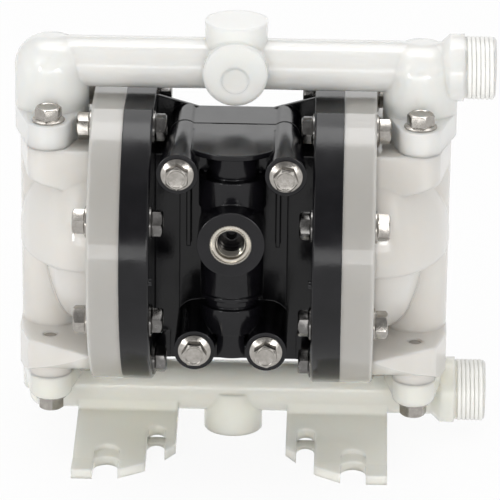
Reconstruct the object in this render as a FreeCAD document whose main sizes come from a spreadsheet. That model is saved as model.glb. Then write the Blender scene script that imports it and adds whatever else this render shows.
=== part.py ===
import FreeCAD, Part
import math
import os
import Sketcher
from types import SimpleNamespace

# Air operated double diaphragm pump. Millimetres, +Z up.
# The driving dimensions are measured from the pump centre, where the diaphragm rod's axis
# crosses the middle plane: X along the rod, Y to the rear, Z up.
SIZES = {
    # stance
    "pipe_stand": 19.0,
    "port_reach": 107.0,
    "running_gap": 0.05,
    "slip_gap": 0.3,
    # caps and their clamp
    "cap_radius": 64.4,
    "cap_flat_cut": 4.4,
    "clamp_offset": 45.2,
    "air_cap_width": 12.2,
    "air_cap_floor": 4.5,
    "gate_radius": 1.7,
    "gate_height": 1.3,
    "gate_inset": 2.0,
    "air_chamber_room": 4.0,
    "fluid_flange_width": 13.3,
    "edge_break": 0.8,
    "cap_bolt_inset": 8.4,
    "cap_bolt_count": 8,
    "bolt_hole_gap": 0.3,
    # flange-head hardware
    "bolt_radius": 3.0,
    "head_across_flats": 10.0,
    "head_height": 4.7,
    "head_flange_radius": 6.75,
    "head_flange_height": 1.3,
    "nut_height": 4.6,
    "nut_room": 0.6,
    "bolt_overhang": 1.0,
    # valve towers and fluid chambers
    "tower_offset": 76.3,
    "tower_radius": 13.4,
    "chamber_lip": 0.8,
    "chamber_depth": 18.5,
    "belly_wall": 5.5,
    "belly_depth": 31.5,
    "belly_floor": -4.5,
    "lower_belly_wall": 3.5,
    "lower_belly_depth": 22.0,
    "dome_shoulder": 0.75,
    "outlet_face_drop": 16.0,
    "outlet_block_width": 62.6,
    "outlet_block_outer_depth": 11.6,
    "outlet_block_inner_depth": 20.4,
    "inlet_face_rise": 2.5,
    "shelf_depth": 16.5,
    "shelf_width": 92.0,
    "shelf_waist": 58.0,
    "shelf_waist_offset": 85.0,
    "shelf_skin": 2.2,
    "shelf_corner": 4.0,
    "shelf_round_inset": 3.0,
    # manifolds
    "pipe_radius": 10.65,
    "pipe_bore_radius": 7.6,
    "outlet_pipe_rise": 28.6,
    "inlet_pipe_drop": 15.1,
    "leg_radius": 15.4,
    "leg_crown": 0.15,
    "inlet_pipe_end": 87.0,
    "inlet_pipe_round": 6.4,
    "ear_spread": 44.6,
    "ear_radius": 9.0,
    "outlet_ear_height": 10.25,
    "inlet_ear_height": 10.8,
    "inlet_ear_round": 3.0,
    "inlet_heel_round": 2.85,
    "elbow_round": 12.5,
    "thread_core_radius": 12.7,
    "thread_length": 13.0,
    "collar_radius": 14.0,
    "collar_length": 6.0,
    "collar_cone_length": 3.5,
    "tee_radius": 13.0,
    "tee_rise": 18.8,
    "tee_boss_radius": 13.3,
    "tee_boss_reach": 15.0,
    "tee_dimple_radius": 5.5,
    "tee_dimple_depth": 0.8,
    "drain_radius": 12.4,
    "drain_clearance": 0.6,
    # feet
    "foot_inner": 23.1,
    "foot_outer": 65.7,
    "foot_reach": 56.4,
    "foot_thickness": 4.0,
    "foot_flat": 11.3,
    "foot_root_reach": 10.0,
    "foot_root_drop": 8.4,
    "foot_wall": 4.2,
    "outer_notch_width": 10.6,
    "outer_notch_end": 42.6,
    "outer_notch_offset": 51.6,
    "inner_notch_width": 7.6,
    "inner_notch_end": 28.6,
    "inner_notch_offset": 31.4,
    "notch_seat_run": 7.8,
    "foot_turn_start": 47.6,
    "foot_turn_middle": 36.5,
    "foot_turn_middle_reach": 49.0,
    "foot_inner_reach": 33.6,
    # check valves
    "ball_radius": 7.9375,
    "ball_lift": 4.5,
    "seat_radius": 10.9,
    "seat_bore_radius": 6.3,
    "seat_height": 4.0,
    "cage_radius": 9.5,
    "throat_radius": 5.5,
    "flow_slot_width": 4.0,
    "ring_radius": 9.0,
    "ring_section": 0.75,
    # diaphragm rod group
    "rod_radius": 5.0,
    "hub_offset": 50.0,
    "diaphragm_thickness": 2.4,
    "rim_thickness": 2.0,
    "rim_inset": 9.7,
    "rim_grip": 7.0,
    "convolution": 13.3,
    "plate_thickness": 4.2,
    "outer_plate_thickness": 4.0,
    "plate_bevel": 2.4,
    "plate_bevel_run": 4.0,
    "screw_radius": 3.0,
    "screw_length": 24.0,
    "tap_overrun": 1.0,
    "bushing_radius": 7.5,
    "bushing_length": 12.0,
    "seal_length": 3.4,
    # pilot rod
    "pilot_height": 18.0,
    "pilot_radius": 3.0,
    "pilot_reach": 40.5,
    "pilot_bushing_radius": 4.8,
    "pilot_bushing_length": 8.0,
    # centre body
    "body_half_depth": 10.5,
    "body_top_drop": 10.0,
    "body_bottom_rise": 4.5,
    "body_half_width": 26.8,
    "drum_top_drop": 24.0,
    "drum_bottom_rise": 12.0,
    "web_top_drop": 5.0,
    "web_offset": 15.5,
    "web_thickness": 1.8,
    "gusset_thickness": 1.8,
    "gusset_depth": 4.0,
    "gusset_drop": 8.7,
    "screw_bury": 9.0,
    # valve block
    "gasket_thickness": 1.0,
    "base_width": 45.0,
    "base_depth": 6.0,
    "base_bottom_rise": 14.5,
    "gasket_dip": 1.1,
    "gasket_dip_width": 20.0,
    "upper_boss_spread": 44.0,
    "upper_boss_drop": 7.4,
    "boss_heel_radius": 6.3,
    "boss_heel_inset": 1.3,
    "boss_heel_rise": 2.4,
    "lower_boss_spread": 29.4,
    "lower_boss_rise": 20.9,
    "boss_radius": 8.5,
    "boss_face": 51.5,
    "barrel_offset": 34.3,
    "barrel_radius": 13.0,
    "barrel_top_radius": 13.9,
    "neck_height": 12.5,
    "head_height_on_barrel": 13.5,
    "groove_rise": 10.9,
    "groove_width": 3.7,
    "groove_depth": 2.0,
    "seam_rise": 16.2,
    "seam_width": 0.5,
    "seam_depth": 0.5,
    "barrel_bottom_rise": 25.7,
    "block_bottom_rise": 16.6,
    "tail_drop": 1.2,
    "tail_width": 11.4,
    "tail_radius": 12.2,
    "neck_radius": 10.5,
    "slab_thickness": 2.2,
    "slab_width": 33.0,
    "slab_curve_radius": 21.4,
    "slab_front": 49.2,
    "column_width": 24.0,
    "rib_offset": 18.5,
    "rib_width": 1.8,
    "rib_depth": 5.0,
    "rib_top_drop": 4.5,
    "rib_bottom_drop": 14.6,
    "web_shrink": 4.25,
    "air_inlet_drop": 35.4,
    "air_boss_radius": 13.8,
    "air_boss_face": 57.0,
    "insert_radius": 8.3,
    "insert_bore_radius": 5.85,
    "insert_length": 11.0,
    "insert_proud": 0.6,
    "insert_mouth_radius": 7.5,
    "insert_mouth_depth": 1.7,
    "air_drill_radius": 2.0,
    # air valve
    "spool_bore_radius": 6.5,
    "spool_roof": 1.5,
    "spool_travel": 8.0,
    "spool_waist_radius": 3.5,
    "spool_land": 6.0,
    "spool_ring_section": 0.8,
    "plug_height": 4.0,
    "valve_plate_width": 16.0,
    "valve_plate_height": 34.0,
    "valve_plate_thickness": 3.0,
    "slider_width": 12.0,
    "slider_height": 15.0,
    "slider_depth": 9.0,
    "slider_cup_depth": 3.0,
    "slider_wall": 3.0,
    "slider_tongue": 4.0,
    # exhaust at the rear
    "cover_width": 40.0,
    "cover_height": 34.0,
    "cover_thickness": 4.0,
    "cover_screw_bite": 4.0,
    "cover_screw_head": 3.8,
    "cover_screw_inset": 4.5,
    "cover_screw_radius": 1.9,
    "exhaust_height": -4.0,
    "exhaust_bore_radius": 5.6,
    "exhaust_boss_radius": 10.0,
    "exhaust_boss_length": 8.0,
    "muffler_radius": 11.5,
    "muffler_length": 30.0,
    "muffler_neck_radius": 5.55,
    "muffler_neck_length": 7.0,
    "muffler_slot_count": 5,
    "muffler_slot_width": 2.0,
    "muffler_core_radius": 8.0,
}

doc = FreeCAD.newDocument("DiaphragmPump")
sheet = doc.addObject("Spreadsheet::Sheet", "Sizes")
pieces = []


class Size:
    """A length that carries its value and the sheet expression it comes from."""

    def __init__(self, value, text):
        self.value = float(value)
        self.text = text

    def joined(self, other, sign, value):
        return Size(value, "(%s %s %s)" % (self.text, sign, other.text))

    def __add__(self, other):
        other = as_size(other)
        return self.joined(other, "+", self.value + other.value)

    def __sub__(self, other):
        other = as_size(other)
        return self.joined(other, "-", self.value - other.value)

    def __mul__(self, other):
        other = as_size(other)
        return self.joined(other, "*", self.value * other.value)

    def __truediv__(self, other):
        other = as_size(other)
        return self.joined(other, "/", self.value / other.value)

    def __radd__(self, other):
        return as_size(other) + self

    def __rsub__(self, other):
        return as_size(other) - self

    def __rmul__(self, other):
        return as_size(other) * self

    def __neg__(self):
        return Size(-self.value, "(-1 * %s)" % self.text)


def as_size(number):
    return number if isinstance(number, Size) else Size(number, "(%r)" % float(number))


def root(number):
    return Size(math.sqrt(number.value), "sqrt(%s)" % number.text)


def write_sheet():
    for row, (name, value) in enumerate(SIZES.items(), 1):
        sheet.set("A%d" % row, name)
        sheet.set("B%d" % row, str(value))
        sheet.setAlias("B%d" % row, name)
    doc.recompute()
    return SimpleNamespace(**{name: Size(value, "Sizes." + name) for name, value in SIZES.items()})


D = write_sheet()

# Places that several pieces share
ELBOW_REACH = D.tower_offset + D.leg_radius
CENTRE_X = (ELBOW_REACH - D.port_reach) / 2
CAP_FLAT = D.cap_radius - D.cap_flat_cut
BOLT_CIRCLE = D.cap_radius - D.cap_bolt_inset
RIM_RADIUS = BOLT_CIRCLE - D.rim_inset
RIM_SEAT = RIM_RADIUS - D.rim_grip
CHAMBER_RADIUS = RIM_SEAT - D.chamber_lip
PLATE_RADIUS = RIM_SEAT - D.convolution
OUTLET_FACE = CAP_FLAT - D.outlet_face_drop
INLET_FACE = D.inlet_face_rise - CAP_FLAT
SHELF_TOP = INLET_FACE + D.shelf_depth
OUTLET_PIPE = OUTLET_FACE + D.outlet_pipe_rise
INLET_PIPE = INLET_FACE - D.inlet_pipe_drop
FLOOR = INLET_PIPE - D.pipe_stand
AIR_INNER = D.clamp_offset - D.air_cap_width
CAP_OUTER = D.clamp_offset + D.fluid_flange_width
BOLT_HOLE = D.bolt_radius + D.bolt_hole_gap
EAR_Y = D.ear_spread / 2
GASKET_FACE = -1 * D.body_half_depth
BLOCK_BACK = GASKET_FACE - D.gasket_thickness
SEAT_LIFT = root(D.ball_radius * D.ball_radius - D.seat_bore_radius * D.seat_bore_radius) + D.running_gap
THROAT_DROP = root(D.ball_radius * D.ball_radius - D.throat_radius * D.throat_radius) + D.running_gap
CAGE_HEIGHT = SEAT_LIFT + D.ball_lift + THROAT_DROP
HUB_INNER = D.hub_offset - D.diaphragm_thickness / 2
HUB_OUTER = D.hub_offset + D.diaphragm_thickness / 2
ROD_END = HUB_INNER - D.plate_thickness
RIM_HALF = D.rim_thickness / 2
FLAT = 1e-3

# Heights on the centre body and the valve block, from the body's top and bottom
BODY_TOP = CAP_FLAT - D.body_top_drop
BODY_BOTTOM = D.body_bottom_rise - CAP_FLAT
UPPER_BOSS = BODY_TOP - D.upper_boss_drop
LOWER_BOSS = BODY_BOTTOM + D.lower_boss_rise
BASE_BOTTOM = BODY_BOTTOM + D.base_bottom_rise
BLOCK_BOTTOM = BODY_BOTTOM + D.block_bottom_rise
BARREL_TOP = BODY_TOP - D.neck_height
BARREL_STEP = BARREL_TOP - D.head_height_on_barrel
BARREL_BOTTOM = BODY_BOTTOM + D.barrel_bottom_rise
AIR_INLET = BODY_TOP - D.air_inlet_drop
SPOOL_TOP = BARREL_TOP - D.spool_roof
SIDES = (("left", -1), ("right", 1))

ALONG = {
    "X": FreeCAD.Rotation(FreeCAD.Vector(0, 1, 0), 90),
    "-X": FreeCAD.Rotation(FreeCAD.Vector(0, 1, 0), -90),
    "Y": FreeCAD.Rotation(FreeCAD.Vector(1, 0, 0), -90),
    "-Y": FreeCAD.Rotation(FreeCAD.Vector(1, 0, 0), 90),
    "Z": FreeCAD.Rotation(),
    "-Z": FreeCAD.Rotation(FreeCAD.Vector(1, 0, 0), 180),
}
ACROSS = {
    "XY": FreeCAD.Rotation(),
    "XZ": FreeCAD.Rotation(0, 0, 90),
    "YZ": FreeCAD.Rotation(90, 0, 90),
}
HALF_TURN = FreeCAD.Rotation(FreeCAD.Vector(0, 0, 1), 180)


def bind(thing, field, size):
    size = as_size(size)
    thing.setExpression(field, size.text)


def set_at(thing, at, turn=None):
    if turn is not None:
        thing.Placement = FreeCAD.Placement(FreeCAD.Vector(), turn)
    for field, size in zip("xyz", at):
        bind(thing, "Placement.Base." + field, size)
    return thing


# Primitives and booleans

def rod(name, radius, length, at, along="Z"):
    thing = doc.addObject("Part::Cylinder", name)
    bind(thing, "Radius", radius)
    bind(thing, "Height", length)
    return set_at(thing, at, ALONG[along])


def cone(name, radius, end_radius, length, at, along="Z"):
    thing = doc.addObject("Part::Cone", name)
    bind(thing, "Radius1", radius)
    bind(thing, "Radius2", end_radius)
    bind(thing, "Height", length)
    return set_at(thing, at, ALONG[along])


def block(name, low, high):
    thing = doc.addObject("Part::Box", name)
    for field, start, stop in zip(("Length", "Width", "Height"), low, high):
        bind(thing, field, as_size(stop) - start)
    return set_at(thing, low)


def hexagon(name, across_flats, length, at, along):
    thing = doc.addObject("Part::Prism", name)
    thing.Polygon = 6
    bind(thing, "Circumradius", across_flats / math.sqrt(3))
    bind(thing, "Height", length)
    return set_at(thing, at, ALONG[along])


def sphere(name, radius, at):
    thing = doc.addObject("Part::Sphere", name)
    bind(thing, "Radius", radius)
    return set_at(thing, at)


def fuse(name, shapes):
    thing = doc.addObject("Part::MultiFuse", name)
    thing.Shapes = shapes
    thing.Refine = True
    return thing


def common(name, shapes):
    thing = doc.addObject("Part::MultiCommon", name)
    thing.Shapes = shapes
    return thing


def cut(name, base, tools):
    thing = doc.addObject("Part::Cut", name)
    thing.Base = base
    thing.Tool = tools[0] if len(tools) == 1 else fuse(name + "_tools", tools)
    thing.Refine = True
    return thing


def group(name, shapes):
    thing = doc.addObject("Part::Compound", name)
    thing.Links = shapes
    return thing


# Sketched bodies

def new_sketch(body_name, name, role):
    """A body with an empty sketch on one of its own planes."""
    body = doc.addObject("PartDesign::Body", body_name)
    sketch = body.newObject("Sketcher::SketchObject", name)
    plane = [item for item in body.Origin.OriginFeatures if item.Role == role][0]
    sketch.AttachmentSupport = [(plane, "")]
    sketch.MapMode = "FlatFace"
    return body, sketch


def revolve(body, sketch):
    spin = body.newObject("PartDesign::Revolution", body.Name + "_turn")
    spin.Profile = sketch
    spin.ReferenceAxis = (sketch, ["V_Axis"])
    spin.Angle = 360


def outline(sketch, points):
    """A closed outline of straight lines with every corner held from the origin."""
    corners = [(as_size(x), as_size(y)) for x, y in points]
    spots = [FreeCAD.Vector(x.value, y.value, 0) for x, y in corners]
    for start, stop in zip(spots, spots[1:] + spots[:1]):
        sketch.addGeometry(Part.LineSegment(start, stop), False)
    count = len(corners)
    for index in range(count):
        sketch.addConstraint(Sketcher.Constraint("Coincident", index, 2, (index + 1) % count, 1))
    for index, corner in enumerate(corners):
        for axis, size in zip(("DistanceX", "DistanceY"), corner):
            number = sketch.addConstraint(Sketcher.Constraint(axis, -1, 1, index, 1, size.value))
            sketch.setExpression("Constraints[%d]" % number, size.text)


def padded(name, points, length, at=(0, 0, 0), across="XY"):
    """A body padded from an outline; XZ outlines are padded towards the front."""
    body, sketch = new_sketch(name, name + "_outline", "XY_Plane")
    outline(sketch, points)
    pad = body.newObject("PartDesign::Pad", name + "_pad")
    pad.Profile = sketch
    bind(pad, "Length", length)
    return set_at(body, at, ACROSS[across])


def turned(name, points, at=(0, 0, 0), along="Z"):
    """A body revolved about the axis from a profile of (radius, distance along) corners."""
    body, sketch = new_sketch(name, name + "_profile", "XZ_Plane")
    outline(sketch, points)
    revolve(body, sketch)
    return set_at(body, at, ALONG[along])


def seal_ring(name, radius, section, at):
    """A square-cut sealing ring about a vertical axis; the section is its half width."""
    return turned(name, [
        (radius - section, -1 * section), (radius + section, -1 * section),
        (radius + section, section), (radius - section, section),
    ], at)


def round_edges(body, radius, wanted):
    """Rounds the edges of a body's tip that the test picks out."""
    doc.recompute()
    base = body.Tip
    names = ["Edge%d" % number for number, edge in enumerate(base.Shape.Edges, 1) if wanted(edge)]
    fillet = body.newObject("PartDesign::Fillet", body.Name + "_round")
    fillet.Base = (base, names)
    bind(fillet, "Radius", radius)
    return body


def is_upright(edge):
    low = edge.BoundBox
    return low.ZLength > low.XLength + low.YLength + 1e-6


def around(count, radius):
    """Centres of evenly spaced holes, half a step off the vertical, as (Y, Z) pairs."""
    step = 360.0 / count.value
    spots = []
    for index in range(int(count.value)):
        angle = math.radians(step * (index + 0.5))
        spots.append((radius * math.sin(angle), radius * math.cos(angle)))
    return spots


def keep(thing, name, at=(0, 0, 0), side=1, turn=None):
    """Names a finished piece and carries it from the pump centre to the floor frame."""
    thing.Label = name
    own = turn if turn is not None else thing.Placement.Rotation
    facing = HALF_TURN.multiply(own) if side < 0 else own
    thing.Placement = FreeCAD.Placement(FreeCAD.Vector(), facing)
    bind(thing, "Placement.Base.x", CENTRE_X + side * as_size(at[0]))
    bind(thing, "Placement.Base.y", side * as_size(at[1]))
    bind(thing, "Placement.Base.z", as_size(at[2]) - FLOOR)
    pieces.append(thing)


# Hardware

def flange_bolt(name, length, at, along):
    """Hexagon head with a washer flange; the seat is at the given place, head outwards."""
    back = {"X": "-X", "-X": "X", "Y": "-Y", "-Y": "Y", "Z": "-Z", "-Z": "Z"}[along]
    return fuse(name, [
        hexagon(name + "_head", D.head_across_flats, D.head_flange_height + D.head_height, at, along),
        rod(name + "_flange", D.head_flange_radius, D.head_flange_height, at, along),
        rod(name + "_shank", D.bolt_radius, length, at, back),
    ])


def flange_nut(name, at, along):
    solid = fuse(name + "_solid", [
        hexagon(name + "_hexagon", D.head_across_flats, D.nut_height, at, along),
        rod(name + "_flange", D.head_flange_radius, D.head_flange_height, at, along),
    ])
    return cut(name, solid, [rod(name + "_bore", D.bolt_radius + D.running_gap, D.nut_height, at, along)])


def cap_hardware(side_name, side):
    """The ring of bolts through both caps, with a nut behind each."""
    grip = CAP_OUTER - AIR_INNER
    bolts = []
    nuts = []
    for number, (y, z) in enumerate(around(D.cap_bolt_count, BOLT_CIRCLE)):
        tag = "%s_%d" % (side_name, number)
        reach = grip + D.nut_height + D.bolt_overhang
        bolts.append(flange_bolt("cap_bolt_" + tag, reach, (CAP_OUTER, y, z), "X"))
        nuts.append(flange_nut("cap_nut_" + tag, (AIR_INNER, y, z), "-X"))
    keep(group("cap_bolts_" + side_name, bolts), "cap_bolts_" + side_name, side=side)
    keep(group("cap_nuts_" + side_name, nuts), "cap_nuts_" + side_name, side=side)


def manifold_hardware():
    """Four bolts down through the outlet ears and four up through the inlet ears."""
    upper = []
    lower = []
    outlet_seat = OUTLET_FACE + D.outlet_ear_height
    inlet_seat = INLET_FACE - D.inlet_ear_height
    for x_sign in (-1, 1):
        for y_sign in (-1, 1):
            x = x_sign * D.tower_offset
            y = y_sign * EAR_Y
            tag = "%d" % (len(upper) + 1)
            upper.append(flange_bolt("outlet_bolt_" + tag, D.outlet_ear_height + D.screw_bury,
                                     (x, y, outlet_seat), "Z"))
            reach = SHELF_TOP - inlet_seat - D.bolt_overhang
            lower.append(flange_bolt("inlet_bolt_" + tag, reach, (x, y, inlet_seat), "-Z"))
    keep(group("manifold_bolts_top", upper), "manifold_bolts_top")
    keep(group("manifold_bolts_bottom", lower), "manifold_bolts_bottom")


# Caps

def bolt_ring_holes(name, start, length):
    return [rod("%s_hole_%d" % (name, number), BOLT_HOLE, length, (start, y, z), "X")
            for number, (y, z) in enumerate(around(D.cap_bolt_count, BOLT_CIRCLE))]


def between_flats(name, start, stop):
    reach = D.cap_radius
    return block(name, (start, -reach, -CAP_FLAT), (stop, reach, CAP_FLAT))


def air_cap(side_name, side):
    """The black disc: a dished air chamber with a recess for the diaphragm's rim."""
    name = "air_cap_" + side_name
    floor = AIR_INNER + D.air_cap_floor
    rim_seat = D.clamp_offset - RIM_HALF
    seal_bore = D.bushing_radius + D.running_gap
    disc = turned(name + "_disc", [
        (D.rod_radius + D.slip_gap, AIR_INNER + D.seal_length),
        (D.rod_radius + D.slip_gap, floor),
        (PLATE_RADIUS + D.air_chamber_room, floor),
        (RIM_SEAT - D.slip_gap, rim_seat),
        (RIM_RADIUS + D.slip_gap, rim_seat),
        (RIM_RADIUS + D.slip_gap, D.clamp_offset),
        (D.cap_radius, D.clamp_offset),
        (D.cap_radius, AIR_INNER + D.edge_break),
        (D.cap_radius - D.edge_break, AIR_INNER),
        (seal_bore, AIR_INNER),
        (seal_bore, AIR_INNER + D.seal_length),
    ], along="X")
    flat_disc = common(name + "_flats", [disc, between_flats(name + "_span", AIR_INNER, D.clamp_offset)])
    holes = bolt_ring_holes(name, AIR_INNER, D.air_cap_width)
    holes.append(rod(name + "_pilot_hole", D.pilot_radius + D.slip_gap, D.air_cap_width,
                     (AIR_INNER, 0, D.pilot_height), "X"))
    gate = rod(name + "_gate", D.gate_radius, D.gate_height,
               (AIR_INNER, side * (D.gate_inset - D.cap_radius), 0), "-X")
    keep(cut(name, fuse(name + "_solid", [flat_disc, gate]), holes), name, side=side)


def tower_plan(name, bottom, top):
    """Tower and its two bolt ears in plan, joined by straight walls back to the flange."""
    height = top - bottom
    x = D.tower_offset
    slope = (D.tower_radius - D.ear_radius) / EAR_Y
    away = root(1 - slope * slope)
    lozenge = []
    for y_sign in (-1, 1):
        lozenge += [
            (x + D.tower_radius * away, y_sign * D.tower_radius * slope),
            (x + D.ear_radius * away, y_sign * (EAR_Y + D.ear_radius * slope)),
        ][::y_sign]
    wall = [(CAP_OUTER, D.outlet_block_width / 2), (CAP_OUTER, -D.outlet_block_width / 2),
            (x, -D.outlet_block_width / 2)]
    wall += lozenge
    wall += [(x, D.outlet_block_width / 2)]
    shapes = [padded(name + "_wall", wall, height, (0, 0, bottom))]
    for number, y_sign in enumerate((-1, 1)):
        shapes.append(rod("%s_ear_%d" % (name, number), D.ear_radius, height, (x, y_sign * EAR_Y, bottom)))
    shapes.append(rod(name + "_tower", D.tower_radius, height, (x, 0, bottom)))
    return fuse(name, shapes)


def outlet_block(name):
    """The block under the outlet ears, whose underside climbs away from the flange."""
    outer = D.tower_offset + D.tower_radius
    side_view = padded(name + "_side_view", [
        (CAP_OUTER, OUTLET_FACE - D.outlet_block_inner_depth),
        (outer, OUTLET_FACE - D.outlet_block_outer_depth),
        (outer, OUTLET_FACE),
        (CAP_OUTER, OUTLET_FACE),
    ], D.outlet_block_width, (0, D.outlet_block_width / 2, 0), "XZ")
    plan = tower_plan(name + "_plan", OUTLET_FACE - D.outlet_block_inner_depth, OUTLET_FACE)
    return common(name, [side_view, plan])


def lower_shelf(name):
    """The shelf that takes the inlet bolts, rounded to the cap's circle and pocketed for its bolt heads."""
    height = SHELF_TOP - INLET_FACE
    x = D.tower_offset
    outer = x + D.tower_radius
    half = D.shelf_width / 2
    waist = D.shelf_waist / 2
    plan = padded(name + "_plan", [
        (CAP_OUTER, -half),
        (D.shelf_waist_offset, -waist),
        (outer, -D.tower_radius),
        (outer, D.tower_radius),
        (D.shelf_waist_offset, waist),
        (CAP_OUTER, half),
    ], height, (0, 0, INLET_FACE))
    wall_end = x.value - D.tower_radius.value
    round_edges(plan, D.shelf_corner, lambda edge: is_upright(edge) and edge.BoundBox.XMin > wall_end)
    wall = common(name + "_wall", [
        plan,
        rod(name + "_round", D.cap_radius - D.shelf_round_inset, outer - CAP_OUTER, (CAP_OUTER, 0, 0), "X"),
    ])
    shapes = [wall]
    pockets = []
    for number, y_sign in enumerate((-1, 1)):
        y = y_sign * EAR_Y
        shapes.append(rod("%s_ear_%d" % (name, number), D.ear_radius, height, (x, y, INLET_FACE)))
        pockets.append(block("%s_pocket_%d" % (name, number),
                             (CAP_OUTER, y - D.ear_radius, INLET_FACE - D.shelf_skin),
                             (x - D.ear_radius, y + D.ear_radius, SHELF_TOP - D.shelf_skin)))
    return cut(name, fuse(name + "_solid", shapes), pockets)


def dome(name, radius, depth):
    """A dome on the cap's outer face: a tight shoulder arc that runs into a wide crown arc."""
    shoulder = depth * D.dome_shoulder
    inset = radius - shoulder
    crown = (inset * inset + depth * depth - shoulder * shoulder) / (2 * (depth - shoulder))
    body, sketch = new_sketch(name, name + "_profile", "XZ_Plane")
    lean = math.atan2(crown.value - depth.value, inset.value)
    centre = FreeCAD.Vector(inset.value, 0, 0)
    crown_centre = FreeCAD.Vector(0, depth.value - crown.value, 0)
    axis = FreeCAD.Vector(0, 0, 1)
    rim = FreeCAD.Vector(radius.value, 0, 0)
    top = FreeCAD.Vector(0, depth.value, 0)
    sketch.addGeometry([
        Part.LineSegment(FreeCAD.Vector(), rim),
        Part.ArcOfCircle(Part.Circle(centre, axis, shoulder.value), 0, lean),
        Part.ArcOfCircle(Part.Circle(crown_centre, axis, crown.value), lean, math.pi / 2),
        Part.LineSegment(top, FreeCAD.Vector()),
    ], False)
    rules = [("Coincident", 0, 1, -1, 1), ("Coincident", 0, 2, 1, 1), ("Tangent", 1, 2, 2, 1),
             ("Coincident", 2, 2, 3, 1), ("Coincident", 3, 2, -1, 1), ("Horizontal", 0), ("Vertical", 3),
             ("PointOnObject", 1, 3, -1), ("PointOnObject", 2, 3, -2)]
    for rule in rules:
        sketch.addConstraint(Sketcher.Constraint(*rule))
    for rule, size in ((("DistanceX", -1, 1, 0, 2), radius), (("DistanceY", -1, 1, 2, 2), depth),
                       (("Radius", 1), shoulder)):
        number = sketch.addConstraint(Sketcher.Constraint(*rule, size.value))
        sketch.setExpression("Constraints[%d]" % number, size.text)
    revolve(body, sketch)
    return set_at(body, (CAP_OUTER, 0, 0), ALONG["X"])


def dome_slice(name, radius, depth, bottom):
    """The part of a dome above a height."""
    span = block(name + "_span", (CAP_OUTER, -radius, bottom), (CAP_OUTER + depth, radius, radius))
    return common(name, [dome(name + "_dome", radius, depth), span])


def fluid_passages(name):
    """Chamber, ball cage under it, riser to the outlet seat and the seat's gland."""
    x = D.tower_offset
    seat_top = OUTLET_FACE
    seat_hole = D.seat_radius + D.running_gap
    cage_top = INLET_FACE + CAGE_HEIGHT
    gland_depth = D.ring_section * 2
    slot = D.flow_slot_width / 2
    passages = [
        rod(name + "_chamber", CHAMBER_RADIUS, D.fluid_flange_width, (D.clamp_offset, 0, 0), "X"),
        rod(name + "_rim_seat", RIM_RADIUS + D.slip_gap, RIM_HALF, (D.clamp_offset, 0, 0), "X"),
        dome(name + "_bowl", CHAMBER_RADIUS, D.chamber_depth),
        rod(name + "_cage", D.cage_radius, CAGE_HEIGHT, (x, 0, INLET_FACE)),
        rod(name + "_riser", D.throat_radius, seat_top - cage_top, (x, 0, cage_top)),
        rod(name + "_seat", seat_hole, D.seat_height, (x, 0, seat_top - D.seat_height)),
        rod(name + "_gland", D.ring_radius + gland_depth, gland_depth,
            (x, 0, seat_top - D.seat_height - gland_depth)),
    ]
    for number, (dx, dy) in enumerate(((D.cage_radius, slot), (slot, D.cage_radius))):
        passages.append(block("%s_flow_%d" % (name, number), (x - dx, -dy, cage_top - D.ball_lift),
                              (x + dx, dy, cage_top + D.ball_lift)))
    for number, y_sign in enumerate((-1, 1)):
        y = y_sign * EAR_Y
        passages.append(rod("%s_stud_%d" % (name, number), D.bolt_radius + D.running_gap, D.screw_bury,
                            (x, y, OUTLET_FACE - D.screw_bury)))
        passages.append(rod("%s_bolt_%d" % (name, number), D.bolt_radius + D.running_gap,
                            SHELF_TOP - INLET_FACE, (x, y, INLET_FACE)))
    return passages


def fluid_cap(side_name, side):
    """The translucent cap: flange, domed fluid chamber, valve tower, outlet block and shelf."""
    name = "fluid_cap_" + side_name
    disc = turned(name + "_disc", [
        (0, D.clamp_offset),
        (D.cap_radius, D.clamp_offset),
        (D.cap_radius, CAP_OUTER - D.edge_break),
        (D.cap_radius - D.edge_break, CAP_OUTER),
        (0, CAP_OUTER),
    ], along="X")
    flange = common(name + "_flange", [disc, between_flats(name + "_span", D.clamp_offset, CAP_OUTER)])
    solid = fuse(name + "_solid", [
        flange,
        dome_slice(name + "_belly", CHAMBER_RADIUS + D.belly_wall, D.belly_depth, D.belly_floor),
        dome(name + "_lower_belly", CHAMBER_RADIUS + D.lower_belly_wall, D.lower_belly_depth),
        rod(name + "_tower", D.tower_radius, OUTLET_FACE - INLET_FACE, (D.tower_offset, 0, INLET_FACE)),
        outlet_block(name + "_outlet_block"),
        lower_shelf(name + "_shelf"),
    ])
    holes = bolt_ring_holes(name, D.clamp_offset, D.fluid_flange_width)
    keep(cut(name, solid, holes + fluid_passages(name)), name, side=side)


# Manifolds

def port_end(name, height):
    """Collar and threaded spigot at the port end of a pipe."""
    thread_start = D.port_reach - D.thread_length
    collar_start = thread_start - D.collar_length
    return [
        cone(name + "_collar_cone", D.pipe_radius, D.collar_radius, D.collar_cone_length,
             (collar_start - D.collar_cone_length, 0, height), "X"),
        rod(name + "_collar", D.collar_radius, D.collar_length, (collar_start, 0, height), "X"),
        rod(name + "_spigot", D.thread_core_radius, D.thread_length - D.edge_break,
            (thread_start, 0, height), "X"),
        cone(name + "_lead", D.thread_core_radius, D.thread_core_radius - D.edge_break, D.edge_break,
             (D.port_reach - D.edge_break, 0, height), "X"),
    ]


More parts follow.
